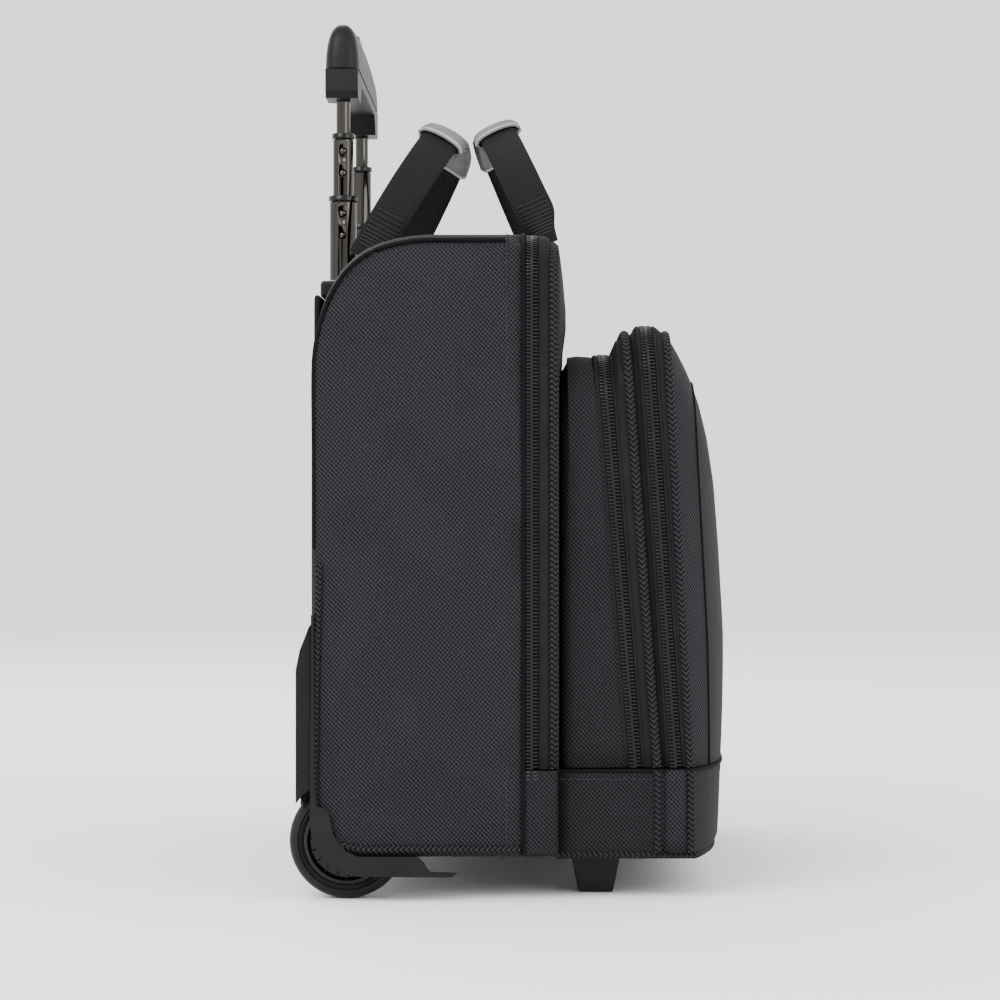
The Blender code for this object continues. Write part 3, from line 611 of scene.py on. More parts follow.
def main_skin_rows():
    """Rows from the middle of the right panel, over the wrap, to the left panel."""
    base = side_path()
    centre = Vector((0, RIM_Y, SIDE_CENTRE_Z))
    count = len(base)
    normals = []
    for i, point in enumerate(base):
        along = (base[min(i + 1, count - 1)] - base[max(i - 1, 0)]).normalized()
        normals.append(Vector((0, -along.z, along.y)))
    half_rows = []
    for angle in (90, 68, 45, 22, 0):
        theta = math.radians(angle)
        row = []
        for point, normal in zip(base, normals):
            r = corner_radius(point)
            moved = point + normal * (r * (1 - math.sin(theta)))
            moved.y = max(moved.y, RIM_Y)
            row.append(Vector((HALF_WIDTH - r * (1 - math.cos(theta)), moved.y, moved.z)))
        half_rows.append(row)
    edge = half_rows[-1]
    for share in (0.97, 0.92, 0.85, 0.75, 0.62, 0.48, 0.33, 0.18, 0.0):
        row = []
        for point in edge:
            place = centre + (Vector((0, point.y, point.z)) - centre) * share
            depth = max(0.0, (place.y - RIM_Y) / (BACK_Y - RIM_Y))
            puff = 0.0026 * (1 - share ** 4) * min(1.0, depth * 5)
            waves = 0.0009 * noise.noise(Vector((3, place.y * 17, place.z * 11)))
            row.append(Vector((HALF_WIDTH + puff + waves * (1 - share), place.y, place.z)))
        half_rows.append(row)
    right = half_rows[::-1]
    left = [[Vector((-p.x, p.y, p.z)) for p in row] for row in half_rows]
    wrap = []
    for k in range(1, 16):
        share = k / 16
        row = []
        for i, (a, b) in enumerate(zip(right[-1], left[0])):
            point = a.lerp(b, share)
            sag = 0.0012 * math.sin(math.pi * share) + 0.0006 * noise.noise(point * 14)
            rim = min(1.0, (point.y - RIM_Y) / 0.02)
            row.append(point - normals[i] * sag * rim)
        wrap.append(row)
    return right + wrap + left


def cut_away(piece, cutters, look):
    """Subtract the cutters and keep the result as the piece's own mesh."""
    for cutter in cutters:
        modifier = piece.modifiers.new("cut", "BOOLEAN")
        modifier.operation = "DIFFERENCE"
        modifier.solver = "EXACT"
        modifier.object = cutter
    bake(piece, look)
    for cutter in cutters:
        bpy.data.objects.remove(cutter, do_unlink=True)


def bake(piece, look):
    """Apply all modifiers to the piece's mesh and give it its look again."""
    shown = piece.evaluated_get(bpy.context.evaluated_depsgraph_get())
    mesh = bpy.data.meshes.new_from_object(shown)
    piece.modifiers.clear()
    piece.data = mesh
    mesh.materials.clear()
    mesh.materials.append(LOOKS[look])


def block(name, low, high):
    """A box between two corners."""
    mesh_data = bmesh.new()
    bmesh.ops.create_cube(mesh_data, size=1.0)
    for vert in mesh_data.verts:
        for k in range(3):
            vert.co[k] = low[k] if vert.co[k] < 0 else high[k]
    return add_object(name, new_mesh(name, mesh_data))


def disc(radius, low, high, centre=AXLE):
    """A solid disc across the case, from low to high in X."""
    profile = [(radius, low), (radius, high)]
    return add_object("cutter", turned_mesh("cutter", profile, centre, "X", 64, closed_profile=False))


def make_main_section():
    """Wrap and side panels in one skin, with the wheel wells and the tube window cut out."""
    skin = add_skin("main_skin", main_skin_rows(), "weave", "case", SHELL_CLOTH,
                    replaces=["main_shell"])
    cutters = [block("cutter", *TUBE_WINDOW)]
    for _, sign in SIDES:
        low, high = sorted(sign * x for x in WELL_X)
        cutters.append(disc(WELL_RADIUS, low, high))
    cut_away(skin, cutters, "weave")

    # seam and stitches beside the main zipper, and the binding of the rim
    row = u_row(HALF_WIDTH, TOP_Z, TOP_CORNER, (0.0026, 0.0), low=0.030)
    outs = outward(row)
    stitches("rim_stitches", [p + n * 0.0004 for p, n in zip(row, outs)], outs, "case")
    seam = u_row(HALF_WIDTH, TOP_Z, TOP_CORNER, (RIM_Y - 0.0002, 0.0), low=0.0265)
    add_trim("rim_seam", seam, 0.0010, "tape_dark", "case")

    # woven piping along the lower back edge and the floor edge of each side
    base = side_path()
    for side, sign in SIDES:
        run = [p for p in base if p.y > 0.06 and p.z < 0.19 or p.z < FLOOR_Z + 0.004]
        path = []
        for point in run:
            inward = Vector((0, 0.5 * (BACK_Y + RIM_Y), 0.2)) - point
            moved = point + inward.normalized() * 0.0048
            path.append(Vector((sign * (HALF_WIDTH + 0.0002), moved.y, moved.z)))
        add_trim("edge_piping_" + side, resample(path, TRIM_STEP), 0.0022, "edging", "case")
        upper = [p for p in base if p.z > 0.19 and p.y > 0.0]
        line = []
        for point in upper:
            r = corner_radius(point)
            inward = (Vector((0, 0.04, 0.22)) - point).normalized()
            moved = point + inward * (r * 0.12 + 0.0010)
            line.append(Vector((sign * (HALF_WIDTH - r * 0.42 + 0.0004), moved.y, moved.z)))
        add_trim("top_piping_" + side, resample(line, TRIM_STEP), 0.0013, "tape_dark", "case")


def inflate(piece, pins, reach, look):
    """Blow the sewn piece up as cloth, then keep each point within reach of its start."""
    start = [v.co.copy() for v in piece.data.vertices]
    group = piece.vertex_groups.new(name="pins")
    group.add(pins, 1.0, "REPLACE")
    cloth = piece.modifiers.new("cloth", "CLOTH")
    cloth.settings.quality = 6
    cloth.settings.mass = 0.2
    cloth.settings.tension_stiffness = 12
    cloth.settings.compression_stiffness = 12
    cloth.settings.bending_stiffness = 0.2
    cloth.settings.use_pressure = True
    cloth.settings.uniform_pressure_force = PAD_PRESSURE
    cloth.settings.vertex_group_mass = "pins"
    cloth.settings.effector_weights.gravity = 0.0
    cloth.collision_settings.use_collision = False
    for number in range(1, SIMULATED_FRAMES + 1):
        bpy.context.scene.frame_set(number)
    bake(piece, look)
    for vertex, origin in zip(piece.data.vertices, start):
        moved = vertex.co - origin
        if moved.length > reach:
            vertex.co = origin + moved.normalized() * reach
    piece.vertex_groups.clear()
    bpy.context.scene.frame_set(1)


def make_pad(name, node, seams, look):
    """Two cloth faces sewn round the border and along upright seams, then inflated."""
    low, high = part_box(node)
    depth = (high[1] - low[1]) / 2
    middle = (high[1] + low[1]) / 2
    columns, levels = PAD_COLUMNS, PAD_LEVELS
    mesh_data = bmesh.new()
    pins = []
    for face in (-1, 1):
        grid = []
        for j in range(levels + 1):
            for i in range(columns + 1):
                u, v = i / columns, j / levels
                border = i in (0, columns) or j in (0, levels)
                sewn = border or i in [round(columns * seam) for seam in seams]
                soft = min(1.0, 12 * min(u, 1 - u)) * min(1.0, 9 * min(v, 1 - v))
                near = min([abs(u - seam) for seam in seams] + [1.0]) * 18
                rise = 0.0 if border else depth * 0.68 * math.sqrt(soft) * min(1.0, 0.06 + near)
                place = (low[0] + (high[0] - low[0]) * u, middle + face * rise,
                         low[2] + (high[2] - low[2]) * v)
                grid.append(mesh_data.verts.new(place))
                if sewn:
                    pins.append(place)
        for j in range(levels):
            for i in range(columns):
                at = j * (columns + 1) + i
                above = at + columns + 1
                mesh_data.faces.new((grid[at], grid[at + 1], grid[above + 1], grid[above]))
    bmesh.ops.remove_doubles(mesh_data, verts=mesh_data.verts, dist=0.00001)
    bmesh.ops.recalc_face_normals(mesh_data, faces=mesh_data.faces)
    mesh = new_mesh(name, mesh_data)
    pad = add_piece(name, mesh, look, "case", [node])
    held = {tuple(round(c, 5) for c in place) for place in pins}
    sewn = [v.index for v in mesh.vertices if tuple(round(c, 5) for c in v.co) in held]
    inflate(pad, sewn, depth * PAD_REACH, look)
    pad.data.shade_smooth()
    smooth = pad.modifiers.new("subdivision", "SUBSURF")
    smooth.levels = smooth.render_levels = 1


def bind_edge(name, node, y, radius):
    """A round binding along the border of a pad."""
    low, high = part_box(node)
    corners = ((low[0], low[2]), (low[0], high[2]), (high[0], high[2]), (high[0], low[2]))
    rim = resample([Vector((x, y, z)) for x, z in corners], 0.006, closed=True)
    rim.append(rim[0])
    add_trim(name, rim, radius, "tape", "case")


def make_back():
    """Padded back panel with two sewn channels, a dark seam line along each that also stands in for the
    groove's shade, and a bound edge.
    """
    low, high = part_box("back_panel")
    seams = (0.25, 0.75)
    make_pad("back_pad", "back_panel", seams, "weave")
    # painted shade: a dark seam line down each channel, partly a real sewn seam, partly standing in for
    # the shade in the groove
    for number, share in enumerate(seams):
        x = low[0] + (high[0] - low[0]) * share
        y = (low[1] + high[1]) / 2 + 0.0009
        path = [Vector((x, y, low[2] + 0.004 + (high[2] - low[2] - 0.008) * k / 30)) for k in range(31)]
        add_trim("back_pad_seam_shade_%d" % number, path, 0.0011, "tape_dark", "case", 8)
    bind_edge("back_pad_binding", "back_panel", high[1] - 0.0018, 0.0018)


# --------------------------------------------------------- front, zippers
def band(name, stations, look, body, replaces=(), thickness=CLOTH, low=COVER_LOW):
    """A U-shaped strip. Each station is (half, top, corner, plane, shift, inset)."""
    rows = [u_row(*station, low) for station in stations]
    add_skin(name, rows, look, body, thickness, -1.0, replaces)


def piping(name, half, top, corner, plane, radius, body, proud):
    """The round edging of a cover, standing proud of its outline."""
    path = resample(u_row(half, top, corner, plane, 0.0004, radius - proud), TRIM_STEP)
    add_trim(name, path, radius, "edging", body, 12)


def zipper(name, half, top, corner, plane, bodies, nodes, low):
    """Two rows of coil loops on their tapes; each row rides on its own section."""
    path = resample(u_row(half, top, corner, plane, 0.0, 0.0007, low), TOOTH_PITCH)
    outs = outward(path)
    for row, way, body, node in (("rear", 1, bodies[0], nodes[0]), ("front", -1, bodies[1], nodes[1])):
        parts = []
        for i in range(len(path) - 1):
            point = path[i] if way > 0 else path[i].lerp(path[i + 1], 0.5)
            start = point - Vector((0, way * 0.0006, 0))
            end = point + Vector((0, way * 0.0031, 0))
            parts.append(capsule(start, end, TOOTH_WIDTH, 0.0013, outs[i]))
        add_piece("%s_coil_%s" % (name, row), join_parts(name + row, parts), "coil", body, [node])
        depth = 0.0011 if way > 0 else 0.0017
        stations = [(half, top, corner, plane, -way * 0.0003, depth),
                    (half, top, corner, plane, way * 0.0036, depth),
                    (half, top, corner, plane, way * 0.0040, 0.0004),
                    (half, top, corner, plane, way * 0.0052, 0.0004),
                    (half, top, corner, plane, way * 0.0066, 0.0020)]
        band("%s_tape_%s" % (name, row), stations, "tape", body, thickness=0.0004, low=low)


def make_front_panel():
    """Tape, edging and padded face of the front section."""
    rim = MAIN_ZIP_Y - COIL_HALF - 0.0004
    flat = (0.0, 0.0)
    tape = [(HALF_WIDTH, TOP_Z - 0.0004, TOP_CORNER, flat, rim + 0.0006, 0.0006),
            (HALF_WIDTH, TOP_Z - 0.0008, TOP_CORNER, flat, rim - 0.0012, 0.0),
            (HALF_WIDTH, TOP_Z - 0.0012, TOP_CORNER, flat, rim - 0.0034, 0.0),
            (HALF_WIDTH, TOP_Z - 0.0020, TOP_CORNER, flat, rim - 0.0050, 0.0008)]
    band("front_tape", tape, "tape", "front_section")
    edge = [(HALF_WIDTH, TOP_Z - 0.0022, TOP_CORNER, flat, rim - 0.0046, 0.0014),
            (HALF_WIDTH, TOP_Z - 0.0040, TOP_CORNER, flat, rim - 0.0056, 0.0003),
            (HALF_WIDTH, TOP_Z - 0.0040, TOP_CORNER, flat, rim - 0.0074, 0.0000),
            (HALF_WIDTH, TOP_Z - 0.0045, TOP_CORNER, flat, rim - 0.0092, 0.0009),
            (HALF_WIDTH, TOP_Z - 0.0050, TOP_CORNER, flat, rim - 0.0103, 0.0032)]
    band("front_edging", edge, "edging", "front_section")

    # the face: flat low down, plump above the pockets
    low = COVER_LOW
    outline = u_outline(HALF_WIDTH - 0.0012, TOP_Z - 0.0060, TOP_CORNER - 0.001)
    rows = []
    for share in (1.0, 0.975, 0.94, 0.88, 0.80, 0.68, 0.52, 0.35, 0.18, 0.0):
        row = []
        for x, z in outline:
            px, pz = x * share, low + (z - low) * share
            high = max(0.0, min(1.0, (pz - 0.300) / 0.022))
            puff = 0.0062 * (1 - share ** 7) * high * high * (3 - 2 * high)
            row.append(Vector((px, PANEL_Y + 0.0012 - 0.0010 * (1 - share ** 8) - puff, pz)))
        rows.append(row)
    add_skin("front_face", rows, "weave", "front_section", 0.0012, 1.0, ["front_panel"])


def make_pockets():
    """Gusset, tapes, pipings and lining of the two front pockets."""
    plane, zip_top = ORGANIZER_ZIP, ORGANIZER_ZIP[2]
    half, corner = POCKET_HALF, POCKET_CORNER
    back = (PANEL_Y - 0.0006, 0.0)
    rim = COIL_HALF + 0.0006
    gusset = [(half - 0.003, 0.2975, corner, back, 0.0, 0.004),
              (half - 0.001, 0.2995, corner, back, -0.0015, 0.0015),
              (half, 0.3030, corner, back, -0.0045, 0.0),
              (half, 0.3046, corner, (-0.0360, 0.020), 0.0, -0.0008),
              (half, 0.3056, corner, (-0.0480, 0.050), 0.0, -0.0006),
              (half, zip_top - 0.0012, corner, plane, rim + 0.003, 0.0),
              (half, zip_top - 0.0012, corner, plane, rim, 0.0006)]
    body = "front_section"
    band("organizer_gusset_skin", gusset, "weave_dark", body, ["organizer_gusset"])

    body = "organizer_flap"
    lift, wall, pipe = ORGANIZER_PIPING, POCKET_ZIP, POCKET_PIPING
    tape = [(half, zip_top + 0.0012, corner, plane, -rim, 0.0008),
            (half, zip_top + 0.0022, corner, plane, -rim - 0.0012, 0.0),
            (half, 0.3148, corner, ((plane[0] - rim + lift[0] + 0.003) / 2, 0.0755), 0.0, 0.0),
            (half, lift[2] - 0.0015, corner, lift, 0.0016, 0.0006)]
    band("organizer_tape", tape, "tape", body, ["organizer_cover"])
    piping("organizer_piping", half, lift[2] + 0.0012, corner, lift, 0.0029, body, 0.0008)
    channel = [(half, lift[2] - 0.0005, corner, lift, -0.0012, 0.0016),
               (half, wall[2] - 0.0030, corner, lift, -0.0036, 0.0012),
               (half, wall[2] - 0.0012, corner, wall, COIL_HALF + 0.0005, 0.0004)]
    band("organizer_channel", channel, "tape_dark", body)

    # lining wall between organizer and pocket
    rows = []
    for share in (1.0, 0.7, 0.4, 0.0):
        row = []
        for x, z in u_outline(half - 0.0016, wall[2] - 0.0028, corner - 0.001):
            level = COVER_LOW + (z - COVER_LOW) * share
            row.append(Vector((x * share, lean_y(wall, level) + 0.0060, level)))
        rows.append(row)
    add_skin("organizer_lining", rows, "lining", body, 0.0010, 0.0)

    body = "pocket_flap"
    tape = [(half, wall[2] - 0.0008, corner, wall, -rim, 0.0008),
            (half, wall[2] - 0.0008, corner, wall, -rim - 0.0010, 0.0),
            (half, pipe[2] + 0.0008, corner, pipe, 0.0016, 0.0006)]
    band("pocket_tape", tape, "tape", body)
    piping("pocket_piping", half, pipe[2] + 0.0012, corner, pipe, 0.0026, body, 0.0006)


def make_pocket_floors():
    """Cloth floors that close the pockets at the fold."""
    half, z = POCKET_HALF - 0.0012, FOLD_Z + 0.0010
    for name, body, back, front, bulge in (
            ("organizer_floor", "front_section", PANEL_Y, ORGANIZER_ZIP[0] + 0.0006, 0.0),
            ("lining_floor", "organizer_flap", ORGANIZER_ZIP[0] - 0.0006, POCKET_ZIP[0] + 0.0006, 0.0),
            ("pocket_floor", "pocket_flap", POCKET_ZIP[0] - 0.0006, POCKET_PIPING[0], 1.0)):
        rows = []
        for share in (0.0, 0.25, 0.5, 0.75, 1.0):
            row = []
            for k in range(33):
                x = half * math.sin(math.pi / 2 * (k / 16 - 1))
                depth = bulge * (DOME_DEPTH * low_bulge(z) - 0.0016) * (1 - abs(x / half) ** DOME_POWER)
                row.append(Vector((x, back + (front - depth - back) * share, z)))
            rows.append(row)
        add_skin(name, rows, "tape_dark", body, 0.0006, 0.0)


def low_bulge(z):
    """Share of the full bulge: it eases off towards the floor."""
    return 1 - 0.20 * max(0.0, (0.15 - z) / 0.0762) ** 1.3


def dome_rows():
    """Rings of the bulging pocket face, from its border to its foot's middle."""
    outline = u_outline(POCKET_HALF - 0.0006, POCKET_PIPING[2] - 0.0004, POCKET_CORNER)
    low = COVER_LOW
    rows = []
    for share in (1.0, 0.992, 0.98, 0.96, 0.93, 0.89, 0.84, 0.77, 0.68, 0.56, 0.42, 0.26, 0.12, 0.0):
        row = []
        for x, z in outline:
            px, pz = x * share, low + (z - low) * share
            bulge = DOME_DEPTH * (1 - share ** DOME_POWER) * low_bulge(pz)
            y = lean_y(POCKET_PIPING, pz) - bulge
            ripple = 0.0006 * noise.noise(Vector((px * 12, 5, pz * 14))) * (1 - share)
            row.append(Vector((px, y + ripple, pz)))
        rows.append(row)
    return rows


def make_dome():
    """Padded face of the outer pocket, with a sewn panel line inside its border."""
    rows = dome_rows()
    face = add_skin("pocket_face", rows, "weave", "pocket_flap", CLOTH, -1.0, ["pocket_cover"])
    path = resample([p - Vector((0, 0.0002, 0)) for p in rows[5]], 0.005)
    add_trim("pocket_face_seam", path, 0.0007, "tape_dark", "pocket_flap", 8)


def base_ring(z):
    """Plan outline of the sewn-up pocket base at one height."""
    steps = 26
    tuck = 0.005 * max(0.0, 1 - (z - POCKET_FLOOR_Z) / 0.009) ** 1.6
    half = POCKET_HALF - tuck
    front = lean_y(POCKET_PIPING, z)
    depth = DOME_DEPTH * low_bulge(z) - tuck
    ring = [Vector((half, PANEL_Y + 0.0015 + (front - PANEL_Y) * k / 8, z)) for k in range(8)]
    for step in range(steps + 1):
        x = half * math.cos(math.pi * step / steps)
        ring.append(Vector((x, front - depth * (1 - abs(x / half) ** DOME_POWER), z)))
    ring += [Vector((-half, PANEL_Y + 0.0015 + (front - PANEL_Y) * k / 8, z)) for k in range(7, -1, -1)]
    return ring


def make_bases():
    """Sewn-up base of the pockets, and the band below the main zipper."""
    rises = (0.0, 0.0006, 0.0018, 0.0040, 0.0080, 0.0140, 0.0240, 0.0360)
    heights = [POCKET_FLOOR_Z + rise for rise in rises]
    heights += [0.0640, 0.0700, FOLD_Z - 0.0006]
    rows = [base_ring(z) for z in heights]
    inner = [Vector((p.x * 0.94, PANEL_Y + (p.y - PANEL_Y) * 0.9, p.z)) for p in rows[0]]
    add_skin("pocket_base", [inner] + rows, "weave_dark", "case", CLOTH, -1.0, ["front_base"])
    for name, ring, z, look in (("pocket_base_lid", rows[-1], heights[-1], "lining"),
                                ("pocket_base_floor", rows[0], heights[0] + 0.0004, "tape_dark")):
        fan = [[Vector((p.x * s, PANEL_Y - 0.001 + (p.y - PANEL_Y) * s, z)) for p in ring]
               for s in (1.0, 0.6, 0.0)]
        add_piece(name, build_mesh(name, fan), look, "case")
    # bindings and stitches at the top seam
    for name, z, radius, look in (("pocket_base_binding", FOLD_Z - 0.0014, 0.0011, "tape_dark"),
                                  ("pocket_floor_piping", POCKET_FLOOR_Z + 0.0026, 0.0016, "edging")):
        add_trim(name, resample(base_ring(z), TRIM_STEP), radius, look, "case", 8)
    ring = base_ring(FOLD_Z - 0.0062)
    outs = [Vector((0, -1, 0)) if abs(p.x) < POCKET_HALF * 0.97
            else Vector((math.copysign(1, p.x), 0, 0)) for p in ring]
    stitches("pocket_base_stitches", ring, outs, "case")

    # the band below the main zipper and the floor inside it
    low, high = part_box("main_base_band")
    rows = []
    for z in (low[2] + 0.0010, low[2] + 0.0030, 0.045, 0.060, high[2] - 0.001, high[2]):
        tuck = 0.003 if z < low[2] + 0.002 else 0.0
        row = [Vector((-HALF_WIDTH + tuck, RIM_Y - 0.0002 - 0.018 * k / 5, z)) for k in range(6)]
        row += [Vector((-HALF_WIDTH + 0.0015 + tuck, PANEL_Y + 0.0006, z))]
        row += [Vector((x, PANEL_Y, z)) for x in (-0.205, -0.1, 0.0, 0.1, 0.205)]
        row += [Vector((HALF_WIDTH - 0.0015 - tuck, PANEL_Y + 0.0006, z))]
        row += [Vector((HALF_WIDTH - tuck, RIM_Y - 0.0002 - 0.018 * k / 5, z))
                for k in range(5, -1, -1)]
        rows.append(row)
    add_skin("main_base_skin", rows, "weave_dark", "case", 0.0025, -1.0, ["main_base_band"])
    plate = block("main_base_floor", (-HALF_WIDTH + 0.003, PANEL_Y + 0.001, low[2] + 0.0004),
                  (HALF_WIDTH - 0.003, RIM_Y, 0.0275))
    plate.data.materials.append(LOOKS["tape_dark"])
    bevel(plate, 0.0008)
    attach(plate, "case")
    # lower ends of the pipings, and a patch over each end of the pocket zipper
    low, top = POCKET_FLOOR_Z + 0.004, FOLD_Z - 0.001
    for side, sign in SIDES:
        for name, y in (("organizer", ORGANIZER_PIPING[0]), ("pocket", POCKET_PIPING[0])):
            x = sign * (POCKET_HALF - 0.0006)
            path = [Vector((x, y, low + (top - low) * k / 10)) for k in range(11)]
            add_trim("%s_base_piping_%s" % (name, side), path, 0.0024, "edging", "case")
        rows = []
        for k in range(7):
            z = low + (top - low) * k / 6
            rows.append([Vector((sign * (POCKET_HALF + 0.0003 + 0.0012 * math.sin(math.pi * j / 6)),
                                 POCKET_ZIP[0] + 0.0060 - 0.012 * j / 6, z)) for j in range(7)])
        add_skin("pocket_zipper_end_" + side, rows, "weave", "case", 0.0008, 0.0)


def make_zippers():
    """The three zippers, and the tails of the main one."""
    low = FOLD_Z + 0.0008
    zipper("main", HALF_WIDTH - 0.0002, TOP_Z - 0.0003, TOP_CORNER, (MAIN_ZIP_Y, 0.0),
           ("case", "front_section"), ("main_teeth_rear", "main_teeth_front"), low)
    zipper("organizer", POCKET_HALF - 0.0002, ORGANIZER_ZIP[2] + 0.0003, POCKET_CORNER, ORGANIZER_ZIP,
           ("front_section", "organizer_flap"), ("organizer_teeth_rear", "organizer_teeth_front"), low)
    zipper("pocket", POCKET_HALF - 0.0002, POCKET_ZIP[2] + 0.0003, POCKET_CORNER, POCKET_ZIP,
           ("organizer_flap", "pocket_flap"), ("pocket_teeth_rear", "pocket_teeth_front"), low)
    # tails of the main zipper below the fold, sewn shut
    for side, sign in SIDES:
        parts = []
        for k in range(3):
            z = FOLD_Z - 0.0010 - 0.0021 * k
            for way in (-1, 1):
                point = Vector((sign * (HALF_WIDTH - 0.0006), MAIN_ZIP_Y, z))
                start, end = (point + Vector((0, way * y, 0)) for y in (0.0005, 0.0034))
                parts.append(capsule(start, end, 0.0015, 0.0014, Vector((sign, 0, 0))))
        add_piece("main_coil_tail_" + side, join_parts("tail", parts), "coil", "case")


# ------------------------------------------------------------- wheels, plastic
def make_wheels():
    """Grooved tyres on dished hubs with ribs on both faces."""
    low, high = WHEEL_X
    r = WHEEL_RADIUS
    for side, sign in SIDES:
        profile = [(0.0247, low + 0.0016), (0.0262, low + 0.0008), (0.0270, low + 0.0012),
                   (0.0278, low + 0.0004), (0.0290, low + 0.0006), (0.0305, low + 0.0014),
                   (0.0318, low + 0.0030), (0.0325, low + 0.0050), (r, low + 0.0072),
                   (r, low + 0.0092), (r - 0.0008, low + 0.0096), (r - 0.0008, low + 0.0104),
                   (r, low + 0.0108)]
        mirrored = [(q, low + high - x) for q, x in reversed(profile[:-4])]
        profile = [(q, sign * x) for q, x in profile + mirrored]
        mesh = turned_mesh("tyre", profile, AXLE, steps=96)
        add_piece("tyre_" + side, mesh, "rubber", "wheel_" + side, ["wheel_tyre_" + side])

        face = [(0.0243, low + 0.0015), (0.0236, low + 0.0010), (0.0224, low + 0.0010),
                (0.0216, low + 0.0022), (0.0208, low + 0.0058), (0.0118, low + 0.0062),
                (0.0108, low + 0.0030), (0.0100, low + 0.0024), (0.0072, low + 0.0024)]
        back = [(q, low + high - x) for q, x in reversed(face)]
        mesh = turned_mesh("hub", [(q, sign * x) for q, x in face + back], AXLE, steps=96)
        add_piece("hub_" + side, mesh, "glossy", "wheel_" + side, ["wheel_hub_" + side])
        parts = []
        for k in range(HUB_RIBS):
            angle = 2 * math.pi * k / HUB_RIBS
            ray = Vector((0, math.cos(angle), math.sin(angle)))
            for x in (low + 0.0042, high - 0.0042):
                place = Vector((sign * x, AXLE[0], AXLE[1]))
                parts.append(capsule(place + ray * 0.0112, place + ray * 0.0211, 0.0016, 0.0050,
                                     Vector((1, 0, 0))))
        add_piece("hub_ribs_" + side, join_parts("ribs", parts), "glossy", "wheel_" + side)


def dress_node(node, look, width=0.0, segments=3):
    """Give a CAD node its look, and round its edges where a width is given."""
    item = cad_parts[node]
    if not item.material_slots:
        item.data.materials.append(LOOKS[look])
    for entry in item.material_slots:
        entry.material = LOOKS[look]
    if width:
        bevel(item, width, segments)


def make_plastics():
    """Looks of the CAD nodes that are shown, and ribs on the kick plate."""
    dress_node("kick_plate", "plastic", 0.0012)
    dress_node("handle_bezel", "plastic")
    dress_node("tube_bracket", "steel")
    dress_node("back_board", "lining", 0.0004, 1)
    for side, sign in SIDES:
        dress_node("corner_guard_" + side, "plastic", 0.0009)
        dress_node("wheel_housing_" + side, "plastic")
        dress_node("axle_" + side, "steel")
        dress_node("wheel_bearing_" + side, "steel")
        dress_node("front_foot_" + side, "rubber", 0.0018)
        dress_node("fixed_tube_" + side, "steel")
    for name in ("main_left", "main_right", "organizer", "pocket"):
        dress_node(name + "_slider", "pulls")
        dress_node(name + "_pull", "pulls")
    # raised ribs on the kick plate
    low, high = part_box("kick_plate")
    parts = []
    for k in range(KICK_RIBS):
        x = -KICK_RIB_X + 2 * KICK_RIB_X * k / (KICK_RIBS - 1)
        ends = [Vector((x, high[1], z)) for z in KICK_RIB_Z]
        parts.append(capsule(*ends, 0.0050, 0.0024, Vector((0, 1, 0))))
    add_piece("kick_plate_ribs", join_parts("ribs", parts), "plastic", "case")


# --------------------------------------------------------- telescopic handle
def make_tubes():
    """Three stages of tube, with collars and lock buttons on the outer two."""
    for stage, (body, outer, inner, low, high) in STAGES.items():
        for side, sign in SIDES:
            centre = (sign * TUBE_X, TUBE_Y)
            top = high if stage == "c" else high - COLLAR
            profile = [(outer, low), (outer, top - 0.0004), (outer - 0.0004, top), (inner, top),
                       (inner, low)]
            mesh = turned_mesh("tube", profile, centre, "Z", 48)
            node = "stage_%s_tube_%s" % (stage, side)
            piece = add_piece("tube_%s_%s" % (stage, side), mesh, "tube", body, [node])
            if stage == "c":
                continue
            hole_x = sorted((sign * TUBE_X, sign * (TUBE_X + 0.02)))
            places = [(TUBE_Y, high - drop) for drop in LOCK_DROPS]
            cut_away(piece, [disc(LOCK_HOLE_RADIUS, *hole_x, place) for place in places], "tube")
            back = sign * (TUBE_X + inner + 0.0001)
            front = sign * (TUBE_X + math.sqrt(outer ** 2 - LOCK_RADIUS ** 2) - 0.0001)
            dome = [(0.0, front), (0.0011, front - sign * 0.0001),
                    (LOCK_RADIUS, front - sign * 0.0007), (LOCK_RADIUS, back), (0.0, back)]
            for number, place in enumerate(places):
                name = "lock_button_%s_%s_%d" % (stage, side, number)
                add_piece(name, turned_mesh("dome", dome, place, "X", 32), "tube", body)
            rim = [(outer + 0.0002, high - 0.0032), (outer + 0.0006, high - 0.0029),
                   (outer + 0.0006, high - 0.0004), (outer + 0.0003, high), (inner, high),
                   (inner, high - 0.0032)]
            add_piece("collar_%s_%s" % (stage, side), turned_mesh("collar", rim, centre, "Z", 48),
                      "glossy", body, ["stage_%s_collar_%s" % (stage, side)])


def grip_rows():
    """Upper grip: a bullet-shaped section along a gently arched bar with round ends."""
    low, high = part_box("grip_cover")
    half, seam = high[0], low[2]
    rows = []
    for k in range(GRIP_COLUMNS + 1):
        place = math.sin(math.pi / 2 * (2 * k / GRIP_COLUMNS - 1))
        x = half * place
        ends = max(0.0, (abs(place) - 0.90) / 0.10)
        shrink = math.sqrt(max(0.0, 1 - ends ** 2.6))
        top = GRIP_TOP_Z + GRIP_CROWN * (1 - place * place)
        height = (top - seam) * (0.12 + 0.88 * shrink)
        depth = GRIP_HALF_DEPTH * (0.25 + 0.75 * shrink)
        row = []
        for step in range(GRIP_SIDES + 1):
            angle = math.pi * step / GRIP_SIDES
            y = TUBE_Y + depth * math.copysign(abs(math.cos(angle)) ** 0.75, math.cos(angle))
            row.append(Vector((x, y, seam + 0.0002 + height * math.sin(angle) ** 0.9)))
        rows.append(row)
    return rows


